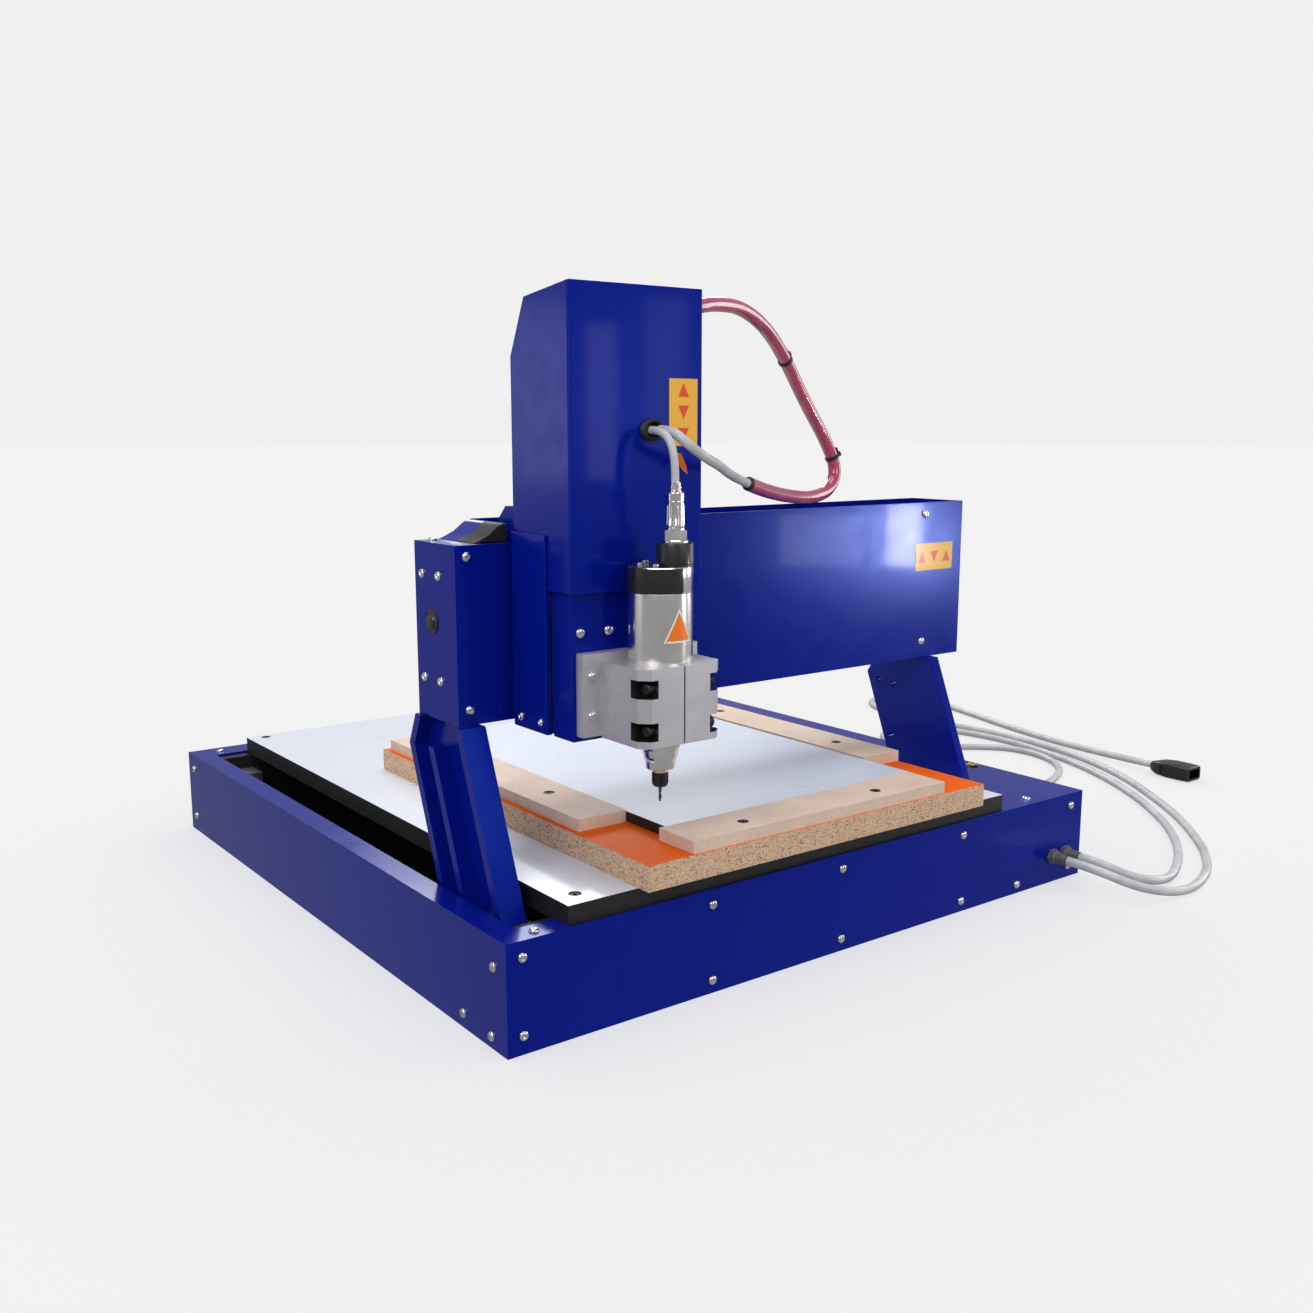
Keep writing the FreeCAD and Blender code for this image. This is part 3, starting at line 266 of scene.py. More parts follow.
@dataclass(frozen=True)
class Metal(Finish):
    """Bare metal with brushing, machining or blasting and a few smears."""

    roughness: float = 0.3
    grain: Grain = Grain.NONE
    fineness: float = 900.0
    relief: float = 0.06
    metallic: float = 1.0

    def shade(self, graph: ShaderGraph) -> None:
        """Sets and links the shader's sockets.

        Args:
            graph: The material's graph.
        """
        lines = graph.noise(self.fineness, 3.0, 0.6, graph.stretched(self.grain.value))
        graph.colour(graph.mottled(graph.noise(22.0, 4.0, 0.6), self.colour, 0.88, 1.08))
        graph.rough(graph.spread(lines, self.roughness * 0.75, self.roughness * 1.3))
        graph.set(Metallic=self.metallic)
        graph.bump(lines, self.relief, 0.0003)


@dataclass(frozen=True)
class Laminate(Finish):
    """A smooth decorative sheet with a faint texture, scuffs and dust."""

    roughness: float = 0.2
    scuffs: float = 0.03
    coat: float = 0.15
    shine: float = 0.3

    def shade(self, graph: ShaderGraph) -> None:
        """Sets and links the shader's sockets.

        Args:
            graph: The material's graph.
        """
        graph.colour(graph.mottled(graph.noise(11.0, 6.0, 0.65), self.colour, 0.97, 1.02))
        graph.rough(graph.spread(graph.noise(60.0, 6.0, 0.7, graph.stretched((1.0, 0.25, 1.0))),
                                 self.roughness - self.scuffs, self.roughness + self.scuffs))
        graph.set(Coat_Weight=self.coat, Coat_Roughness=0.1, Specular_IOR_Level=self.shine)
        graph.bump(graph.noise(700.0, 3.0), 0.015, 0.0003)


@dataclass(frozen=True)
class ChipBoard(Finish):
    """The raw edge of particle board: pale chips, dark gaps and small voids."""

    middle: Colour = (0.48, 0.30, 0.18)
    dark: Colour = (0.14, 0.08, 0.045)

    def shade(self, graph: ShaderGraph) -> None:
        """Sets and links the shader's sockets.

        Args:
            graph: The material's graph.
        """
        flat = graph.stretched((1.0, 1.0, 2.2))
        bright = graph.add("RGBToBW", "Val", {"Color": graph.cells(520.0, flat)})
        graph.colour(graph.ramp(bright, [(0.12, self.dark), (0.2, self.middle), (0.36, self.colour),
                                         (0.8, toned(self.colour, 1.25))]))
        graph.set(Roughness=0.85, Specular_IOR_Level=0.25)
        graph.bump(bright, 0.7, 0.0009)
        graph.bump(graph.noise(1100.0, 3.0, 0.7, flat), 0.5, 0.0005)


@dataclass(frozen=True)
class RawBoard(Finish):
    """Sanded board for the work-holding bars: even beige, fine fibres and soft stains."""

    def shade(self, graph: ShaderGraph) -> None:
        """Sets and links the shader's sockets.

        Args:
            graph: The material's graph.
        """
        fibres = graph.noise(420.0, 5.0, 0.7)
        mix = graph.tree.nodes.new("ShaderNodeMix")
        mix.data_type = "RGBA"
        mix.blend_type = "MULTIPLY"
        mix.inputs["Factor"].default_value = 1.0
        stained = graph.mottled(graph.noise(16.0, 4.0, 0.6), self.colour, 0.88, 1.08)
        fibrous = graph.ramp(fibres, [(0.3, (0.84, 0.82, 0.8)), (0.65, (1.0, 1.0, 1.0))])
        graph.tree.links.new(stained, mix.inputs["A"])
        graph.tree.links.new(fibrous, mix.inputs["B"])
        graph.colour(mix.outputs["Result"])
        graph.set(Roughness=0.55, Specular_IOR_Level=0.3)
        graph.bump(fibres, 0.15, 0.0004)


@dataclass(frozen=True)
class Moulded(Finish):
    """Moulded plastic, rubber or a cable's jacket, with fine grain and some handling shine."""

    roughness: float = 0.45
    grain: float = 500.0
    relief: float = 0.2
    coat: float = 0.0

    def shade(self, graph: ShaderGraph) -> None:
        """Sets and links the shader's sockets.

        Args:
            graph: The material's graph.
        """
        wear = graph.noise(35.0, 4.0, 0.6)
        graph.colour(graph.mottled(wear, self.colour, 0.85, 1.15))
        graph.rough(graph.spread(wear, self.roughness - 0.07, self.roughness + 0.07))
        graph.set(Coat_Weight=self.coat, Coat_Roughness=0.1)
        graph.bump(graph.noise(self.grain, 3.0), self.relief, 0.0003)


BLUE = Paint("blue_sprayed_paint", (0.001, 0.008, 0.24))
PAN = Paint("black_pan_and_painted_shade", (0.012, 0.012, 0.014), gloss=0.5, coat=0.0, tint=(0.4, 0.4, 0.4))
MOTOR = Paint("black_motor_enamel", (0.015, 0.015, 0.016), gloss=0.35, tint=(0.5, 0.5, 0.5))
BOLT = Metal("bright_zinc_bolt", (0.78, 0.78, 0.79), 0.2, fineness=1500.0)
STEEL = Metal("turned_steel", (0.6, 0.6, 0.61), 0.28, Grain.ALONG_Y)
CLAMP = Metal("blasted_clamp_aluminium", (0.62, 0.60, 0.645), 0.5, fineness=1800.0, relief=0.14,
              metallic=0.75)
ALU = Metal("milled_aluminium", (0.62, 0.61, 0.6), 0.38, Grain.ALONG_X)
SHELL = Metal("turned_stainless_shell", (0.95, 0.91, 0.89), 0.17, Grain.ROUND_Z, 1300.0, 0.04)
BRIGHT = Metal("polished_stainless", (0.92, 0.89, 0.87), 0.13, Grain.ROUND_Z, 1000.0, 0.03)
DARK = Metal("blackened_screw_steel", (0.045, 0.045, 0.05), 0.35, metallic=0.8)
CARBIDE = Metal("dark_carbide", (0.10, 0.10, 0.11), 0.3, metallic=0.9)
BRASS = Metal("brass_terminal", (0.65, 0.42, 0.13), 0.3)
WHITE_TOP = Laminate("white_table_laminate", (0.75, 0.79, 0.88), 0.16)
SHEET_TOP = Laminate("pale_work_sheet", (0.65, 0.70, 0.80), 0.3)
CORE = Moulded("black_board_core", (0.008, 0.008, 0.009), 0.55, relief=0.3)
ORANGE_TOP = Laminate("orange_board_face", (0.84, 0.13, 0.006), 0.45, coat=0.0, shine=0.05)
CHIPS = ChipBoard("raw_particle_board", (0.64, 0.44, 0.30))
BARS = RawBoard("beige_bar_board", (0.76, 0.59, 0.47))
PLASTIC = Moulded("black_moulded_plastic", (0.014, 0.014, 0.016), 0.3, coat=0.2)
RUBBER = Moulded("black_rubber", (0.012, 0.012, 0.012), 0.6, relief=0.35)
JACKET = Moulded("grey_cable_jacket", (0.50, 0.51, 0.53), 0.36, 220.0, coat=0.15)
SLEEVE = Moulded("dark_grey_gland", (0.10, 0.10, 0.11), 0.45)
CONDUIT = Moulded("red_sleeve", (0.44, 0.045, 0.115), 0.2, 60.0, 0.01, 1.0)
LABEL_YELLOW = Laminate("yellow_label_film", (0.85, 0.45, 0.03), 0.35)
LABEL_RED = Laminate("red_label_print", (0.75, 0.06, 0.01), 0.35)
LABEL_ORANGE = Laminate("orange_label_film", (0.92, 0.20, 0.01), 0.3)
LABEL_WHITE = Laminate("white_label_film", (0.85, 0.85, 0.86), 0.35)
MADE: dict[str, Material] = {}


def material(finish: Finish) -> Material:
    """The finish's material, made the first time that it's asked for.

    Args:
        finish: The finish.

    Returns:
        Its material.
    """
    if finish.name not in MADE:
        MADE[finish.name] = finish.build()
    return MADE[finish.name]


# ---- mesh helpers

SHARP = math.radians(32)
FLAT = math.radians(0.5)
WELD = 1e-5


def finished(name: str, mesh: Mesh, finishes: Sequence[Finish], body: str,
             nodes: Sequence[str] = ()) -> Thing:
    """Turns a bmesh into a piece that rides on a body.

    Args:
        name: The piece's name.
        mesh: Its faces, in the frame's coordinates. It is freed.
        finishes: The finishes of its material indices.
        body: The CAD body that it rides on.
        nodes: The CAD nodes that it stands for.

    Returns:
        The new object.
    """
    bmesh.ops.recalc_face_normals(mesh, faces=mesh.faces)
    for edge in mesh.edges:
        edge.smooth = len(edge.link_faces) == 2 and edge.calc_face_angle(0.0) < SHARP
    for face in mesh.faces:
        face.smooth = True
    data = bpy.data.meshes.new(name)
    mesh.to_mesh(data)
    mesh.free()
    thing = bpy.data.objects.new(name, data)
    for finish in finishes:
        data.materials.append(material(finish))
    bpy.context.scene.collection.objects.link(thing)
    return mounted(thing, body, nodes)


def mounted(thing: Thing, body: str, nodes: Sequence[str] = ()) -> Thing:
    """Puts a piece on its body and the nodes it stands for, and reports it.

    Args:
        thing: The piece.
        body: The CAD body that it rides on.
        nodes: The CAD nodes that it stands for.

    Returns:
        The piece.
    """
    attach(thing, body)
    if nodes:
        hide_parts(*nodes)
    LOG.info("%s on %s", thing.name, body)
    return thing


def rounded(thing: Thing, width: float) -> Thing:
    """Rounds a piece's hard edges with a bevel.

    Args:
        thing: The piece.
        width: The bevel's width in metres.

    Returns:
        The piece.
    """
    bevel = thing.modifiers.new("rounded", "BEVEL")
    bevel.width = width
    bevel.segments = 2
    bevel.limit_method = "ANGLE"
    bevel.angle_limit = SHARP
    bevel.use_clamp_overlap = True
    bevel.harden_normals = True
    return thing


def carried(node: str, finishes: Sequence[Finish], edge: float = 0.8 * MM,
            choose: Callable[[Vector, Vector], int] | None = None) -> Thing:
    """A CAD node's own shape with rounded edges and better finishes.

    Args:
        node: The CAD node.
        finishes: The finishes of its material indices.
        edge: The width of its rounded edges in metres.
        choose: Gives a face's material index from its middle and its normal.

    Returns:
        The piece that stands for the node.
    """
    mesh = bmesh.new()
    mesh.from_mesh(frame["nodes"][node].data)
    bmesh.ops.remove_doubles(mesh, verts=mesh.verts, dist=WELD)
    bmesh.ops.dissolve_limit(mesh, angle_limit=FLAT, verts=mesh.verts, edges=mesh.edges)
    for face in mesh.faces:
        face.material_index = choose(face.calc_center_median(), face.normal) if choose else 0
    piece = finished(f"{node}_skin", mesh, finishes, BODY_OF[node], [node])
    return rounded(piece, edge) if edge else piece


def painted(edge: float, *nodes: str) -> None:
    """Gives CAD nodes the blue paint and rounded edges of a width in millimetres."""
    for node in nodes:
        carried(node, [BLUE], edge * MM)


def dressed(finish: Finish, *nodes: str) -> None:
    """Gives CAD nodes that keep their shape a better material.

    Args:
        finish: Their finish.
        nodes: The CAD nodes.
    """
    for node in nodes:
        for place in frame["nodes"][node].material_slots:
            place.material = material(finish)
        LOG.info("%s kept, in %s", node, finish.name)


def lathe(mesh: Mesh, profile: Profile, where: Matrix, steps: int = 48,
          shape: Callable[[float, float, float], float] | None = None,
          finish: Callable[[float, float], int] | None = None) -> None:
    """Turns a profile about its axis and adds it to a mesh.

    Args:
        mesh: The mesh that it is added to.
        profile: Pairs of radius and height in millimetres, from one end to the other.
        where: The placement of the profile's axis, in metres.
        steps: Steps round the axis.
        shape: Gives the radius at an angle from the radius, the angle and the height.
        finish: Gives a face's material index from its angle and height.
    """
    rings = []
    for radius, height in profile:
        ring = []
        for step in range(steps):
            angle = 2 * math.pi * step / steps
            size = shape(radius, angle, height) if shape else radius
            spot = Vector((size * math.cos(angle), size * math.sin(angle), height)) * MM
            ring.append(mesh.verts.new(where @ spot))
        rings.append(ring)
    for low, high, (_, bottom), (_, top) in zip(rings, rings[1:], profile, profile[1:]):
        for step in range(steps):
            after = (step + 1) % steps
            face = mesh.faces.new((low[step], low[after], high[after], high[step]))
            if finish:
                face.material_index = finish(2 * math.pi * (step + 0.5) / steps, (bottom + top) / 2)
    for ring, (_, height) in ((rings[0], profile[0]), (rings[-1], profile[-1])):
        cap = mesh.faces.new(ring)
        if finish:
            cap.material_index = finish(-1.0, height)


def turned_to(direction: Vector, spot: Vector) -> Matrix:
    """The placement whose Z axis runs along a direction from a spot."""
    return Matrix.Translation(spot) @ direction.to_track_quat("Z", "Y").to_matrix().to_4x4()


def hexagon(radius: float, angle: float, _height: float) -> float:
    """The distance to a hexagon's side whose flats are that far from the middle."""
    sixth = math.pi / 3
    return radius / math.cos((angle % sixth) - sixth / 2)


def slab(mesh: Mesh, low: Vector, high: Vector, index: int = 0) -> None:
    """Adds a box between two corners to a mesh.

    Args:
        mesh: The mesh that it is added to.
        low: Its lowest corner.
        high: Its highest corner.
        index: Its material index.
    """
    made = bmesh.ops.create_cube(mesh, size=1.0)["verts"]
    for vert in made:
        vert.co = Vector(lo + (hi - lo) * (part + 0.5) for lo, hi, part in zip(low, high, vert.co))
    for face in {face for vert in made for face in vert.link_faces}:
        face.material_index = index


def plate(mesh: Mesh, corners: Sequence[Vector], out: Vector, thick: float,
          index: int = 0) -> None:
    """Adds a thin flat plate with any outline to a mesh.

    Args:
        mesh: The mesh that it is added to.
        corners: Its outline.
        out: The direction that it stands out in.
        thick: Its thickness in metres.
        index: Its material index.
    """
    low = [mesh.verts.new(corner) for corner in corners]
    high = [mesh.verts.new(corner + out * thick) for corner in corners]
    faces = [mesh.faces.new(low), mesh.faces.new(high)]
    for step in range(len(corners)):
        after = (step + 1) % len(corners)
        faces.append(mesh.faces.new((low[step], low[after], high[after], high[step])))
    for face in faces:
        face.material_index = index


def loose_solids(node: str) -> list[tuple[Vector, Vector]]:
    """The lowest and highest corners of each separate solid of a CAD node.

    Args:
        node: The CAD node.

    Returns:
        A pair of corners for each solid.
    """
    mesh = bmesh.new()
    mesh.from_mesh(frame["nodes"][node].data)
    bmesh.ops.remove_doubles(mesh, verts=mesh.verts, dist=WELD / 10)
    left = set(mesh.verts)
    boxes = []
    while left:
        stack = [left.pop()]
        spots = []
        while stack:
            vert = stack.pop()
            spots.append(vert.co.copy())
            for edge in vert.link_edges:
                other = edge.other_vert(vert)
                if other in left:
                    left.remove(other)
                    stack.append(other)
        boxes.append((Vector(map(min, zip(*spots))), Vector(map(max, zip(*spots)))))
    mesh.free()
    return boxes


# ---- fasteners

@dataclass
class DomedBolts:
    """The bright domed bolts of one CAD node, each with a hexagon socket."""

    node: str
    head: float = 5.2
    height: float = 3.2
    shank: float = 3.0
    socket: float = 2.1
    depth: float = 1.5

    def add(self, mesh: Mesh, spot: Vector, out: Vector, length: float = 7.0,
            size: float = 1.0) -> None:
        """Adds one bolt.

        Args:
            mesh: The mesh that it is added to.
            spot: The middle of its seat.
            out: The way that its head points.
            length: Its shank's length in millimetres.
            size: Its head's size against the usual one.
        """
        head, high = self.head * size, self.height * size
        bore = high - self.depth * size
        profile = [(self.shank, -length), (self.shank, 0.0), (head, 0.0), (head, high * 0.22),
                   (head * 0.965, high * 0.45), (head * 0.87, high * 0.68), (head * 0.72, high * 0.87),
                   (head * 0.56, high), (self.socket * size * 1.16, high)]
        inner = [(self.socket * size, high), (self.socket * size, bore)]
        where = turned_to(out, spot)
        steps = 24

        def socketed(radius: float, angle: float, height: float) -> float:
            """The socket's own rings are hexagons, and the others are round."""
            deep = height >= bore - 1e-6 and radius <= self.socket * size + 1e-6
            return hexagon(radius * 0.98, angle, height) if deep else radius

        lathe(mesh, profile + inner, where, steps, socketed)

    def build(self, faces: Sequence[tuple[int, int, float]]) -> Thing:
        """Makes a bolt wherever the CAD node has one.

        Args:
            faces: The seats as axis, sign and place along it, each with bolts that stand out of it.

        Returns:
            The piece that stands for the node's bolts.
        """
        mesh = bmesh.new()
        for low, high in loose_solids(self.node):
            middle = (low + high) / 2
            for axis, sign, place in faces:
                tip = high[axis] if sign > 0 else low[axis]
                if abs(tip - (place + sign * self.height * MM)) < 0.4 * MM:
                    out = Vector((0.0, 0.0, 0.0))
                    out[axis] = sign
                    spot = middle.copy()
                    spot[axis] = place
                    self.add(mesh, spot, out)
                    break
        return finished(f"{self.node}_domed", mesh, [BOLT], BODY_OF[self.node], [self.node])


@dataclass
class SunkScrews:
    """The dark flat screws of the table and the bars, sunk in countersunk holes."""

    node: str = "dark_screws"
    head: float = 6.5

    def build(self) -> Thing:
        """Makes a screw wherever the CAD node has one.

        Returns:
            The piece that stands for the node's screws.
        """
        mesh = bmesh.new()
        for low, high in loose_solids(self.node):
            spot = Vector(((low.x + high.x) / 2, (low.y + high.y) / 2, high.z))
            length = (high.z - low.z) / MM

            def socketed(radius: float, angle: float, height: float) -> float:
                """The innermost rings are hexagons."""
                return hexagon(radius, angle, height) if radius < 2.6 else radius

            lathe(mesh, [(2.6, -length), (2.6, -4.0), (self.head, -3.4), (self.head, 0.0),
                         (self.head - 0.5, -0.15), (5.0, -1.3), (4.8, -1.1), (3.2, -0.9), (2.5, -1.0),
                         (2.5, -3.0)], Matrix.Translation(spot), 24, socketed)
        return finished("dark_screws_sunk", mesh, [DARK], BODY_OF[self.node], [self.node])


# ---- cables

@dataclass
class Cable:
    """A cable on one smooth curve."""

    name: str
    route: Sequence[Point]
    width: float
    length: float
    body: str
    slot: str = "grey_cable"
    finish: Finish = JACKET

    def curve(self, steps: int, capped: bool) -> bpy.types.Curve:
        """The smooth round curve along the route.

        Args:
            steps: Its steps from one point to the next.
            capped: Whether its ends are closed.

        Returns:
            The curve's data.
        """
        data = bpy.data.curves.new(self.name, "CURVE")
        data.dimensions = "3D"
        data.resolution_u = steps
        data.bevel_depth = self.width / 2 * MM
        data.bevel_resolution = 5
        data.use_fill_caps = capped
        spline = data.splines.new("NURBS")
        spline.points.add(len(self.route) - 1)
        for spot, place in zip(spline.points, self.route):
            spot.co = (*at(*place), 1.0)
        spline.order_u = 3
        spline.use_endpoint_u = True
        return data

    def build(self) -> Thing:
        """Makes the curve and puts it on its body in place of its CAD tube.

        Returns:
            The cable.
        """
        data = self.curve(10, True)
        thing = bpy.data.objects.new(f"{self.name}_curve", data)
        data.materials.append(material(self.finish))
        bpy.context.scene.collection.objects.link(thing)
        return mounted(thing, self.body, [self.name])


def centreline(thing: Thing) -> list[Vector]:
    """The points along a cable's smooth curve.

    Args:
        thing: The built cable.

    Returns:
        Its points, from its first end to its last.
    """
    plain = thing.data.copy()
    plain.bevel_depth = 0.0
    carrier = bpy.data.objects.new("centreline", plain)
    line = bpy.data.meshes.new_from_object(carrier)
    spots = [vert.co.copy() for vert in line.vertices]
    bpy.data.objects.remove(carrier)
    bpy.data.meshes.remove(line)
    bpy.data.curves.remove(plain)
    return spots


CABLE_A: list[Point] = [
    (390, -26, 36), (390, -70, 36), (412, -120, 20), (478, -144, 7), (566, -122, 7), (646, -72, 7),
    (716, -10, 7), (784, 60, 7), (846, 140, 7), (908, 226, 7), (958, 322, 7), (992, 426, 7),
    (1004, 530, 7), (1000, 636, 7), (984, 736, 7), (980, 836, 7), (1000, 922, 7), (1056, 966, 7),
    (1118, 940, 7), (1138, 864, 7), (1116, 764, 7), (1086, 664, 7), (1060, 564, 7), (1042, 466, 7),
    (1028, 376, 9), (1012, 306, 13), (1012, 248, 13),
]
CABLE_B: list[Point] = [
    (416, -26, 36), (416, -58, 36), (440, -98, 20), (504, -104, 7), (588, -66, 7), (660, -18, 7),
    (724, 38, 7), (780, 100, 7), (834, 170, 7), (884, 250, 7), (926, 338, 7), (956, 432, 7),
    (972, 528, 7), (966, 624, 7), (932, 704, 7), (864, 734, 7), (798, 702, 7), (780, 634, 7),
    (822, 574, 7), (888, 540, 7), (934, 484, 7), (926, 406, 7), (882, 344, 7), (812, 304, 7),
    (728, 285, 7), (652, 281, 7), (590, 287, 15), (530, 290, 36), (476, 290, 36),
]
HARNESS: list[Point] = [
    (-245, 28, 598), (-245, 8, 597.5), (-238, -8, 584), (-214, -5, 571), (-180, 14, 562), (-145, 42, 553),
    (-110, 66, 545), (-54, 98, 533), (-2, 126, 524), (54, 152, 517), (106, 174, 514), (148, 189, 522),
    (166, 196, 548), (146, 198, 586), (104, 192, 632), (60, 181, 682), (14, 164, 716), (-44, 142, 735),
    (-104, 116, 734), (-146, 97, 727), (-176.5, 91, 723),
]
SEAM: Point = (-82, 82, 539)
SEAM_AFTER = 7
LEAD: list[Point] = [(-256, 28, 598), (-258, 6, 598), (-256.5, -11, 578), (-256.5, -11, 548.5)]


@dataclass
class FloorCables:
    """The two cables that lie on the floor, their glands and the plug."""

    width: float = 12.0
    long_a: float = 2.299
    long_b: float = 2.137
    glands: Sequence[Point] = ((390, 0, 36), (416, 0, 36), (450, 290, 36))
    around: int = 32
    squareness: float = 0.28
    hull: Sequence[Point] = ((-1.0, 0.90, 0.86), (-0.97, 0.97, 0.95), (-0.55, 1.0, 1.0), (0.1, 0.98, 1.0),
                             (0.55, 0.86, 0.88), (0.82, 0.62, 0.66), (0.92, 0.5, 0.56))

    def build(self) -> None:
        self.add_glands()
        plug = self.add_plug()
        first = Cable("cable_a", CABLE_A, self.width, self.long_a, "base")
        second = Cable("cable_b", CABLE_B, self.width, self.long_b, "base")
        first.build()
        second.build()

    def add_glands(self) -> None:
        """Makes each gland: a hexagon flange, a domed nut and a ribbed tapering sleeve."""
        mesh = bmesh.new()
        ribs = [(7.9 - 0.05 * z - (0.55 if z % 4 >= 2 else 0.0), float(z)) for z in range(9, 25)]
        for index, spot in enumerate(self.glands):
            where = turned_to(RIGHT if index == 2 else FRONT, at(*spot))
            lathe(mesh, [(9.5, 0.0), (9.5, 3.6), (9.0, 4.0)], where, 24, hexagon)
            lathe(mesh, [(8.4, 3.8), (9.0, 5.0), (8.8, 7.0), (8.0, 8.4)] + ribs + [(6.6, 25.6)], where, 32)
        finished("cable_glands_ribbed", mesh, [SLEEVE], "base", ["cable_glands"])

    def add_plug(self) -> Thing:
        """Makes the plug: a crowned shell, side grips, an end face and the cable's boot.

        Returns:
            The plug.
        """
        low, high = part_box("cable_plug")
        mesh = bmesh.new()
        middle = (low + high) / 2
        half = (high - low) / 2
        rings = []
        for share, wide, tall in self.hull:
            ring = []
            for step in range(self.around):
                angle = 2 * math.pi * step / self.around
                x, z = (math.copysign(abs(part) ** self.squareness, part)
                        for part in (math.cos(angle), math.sin(angle)))
                ring.append(mesh.verts.new(middle + Vector((half.x * wide * x, half.y * share,
                                                            half.z * tall * z))))
            rings.append(ring)
        for first, second in zip(rings, rings[1:]):
            for step in range(self.around):
                after = (step + 1) % self.around
                mesh.faces.new((first[step], first[after], second[after], second[step]))
        mesh.faces.new(rings[0])
        mesh.faces.new(rings[-1])
        for side in (-1, 1):
            for rib in range(5):
                y = middle.y + (rib - 1.5) * 5.5 * MM
                edge = middle.x + side * half.x * 0.97
                slab(mesh, Vector((edge - 0.8 * MM, y - 1.2 * MM, middle.z - half.z * 0.6)),
                     Vector((edge + 0.8 * MM, y + 1.2 * MM, middle.z + half.z * 0.6)))
        face = low.y
        slab(mesh, Vector((middle.x - half.x * 0.72, face, middle.z - half.z * 0.6)),
             Vector((middle.x + half.x * 0.72, face + 1.5 * MM, middle.z + half.z * 0.6)))
        where = turned_to(BACK, Vector((middle.x, high.y - 12 * MM, middle.z)))
        lathe(mesh, [(9.0, 0.0), (8.8, 3.0), (8.2, 3.4), (8.2, 5.4), (8.5, 5.8), (8.3, 8.0), (7.7, 8.4),
                     (7.6, 10.4), (7.2, 11.9)], where, 24)
        piece = finished("cable_plug_shell", mesh, [PLASTIC], "base", ["cable_plug"])
        return rounded(piece, 0.6 * MM)


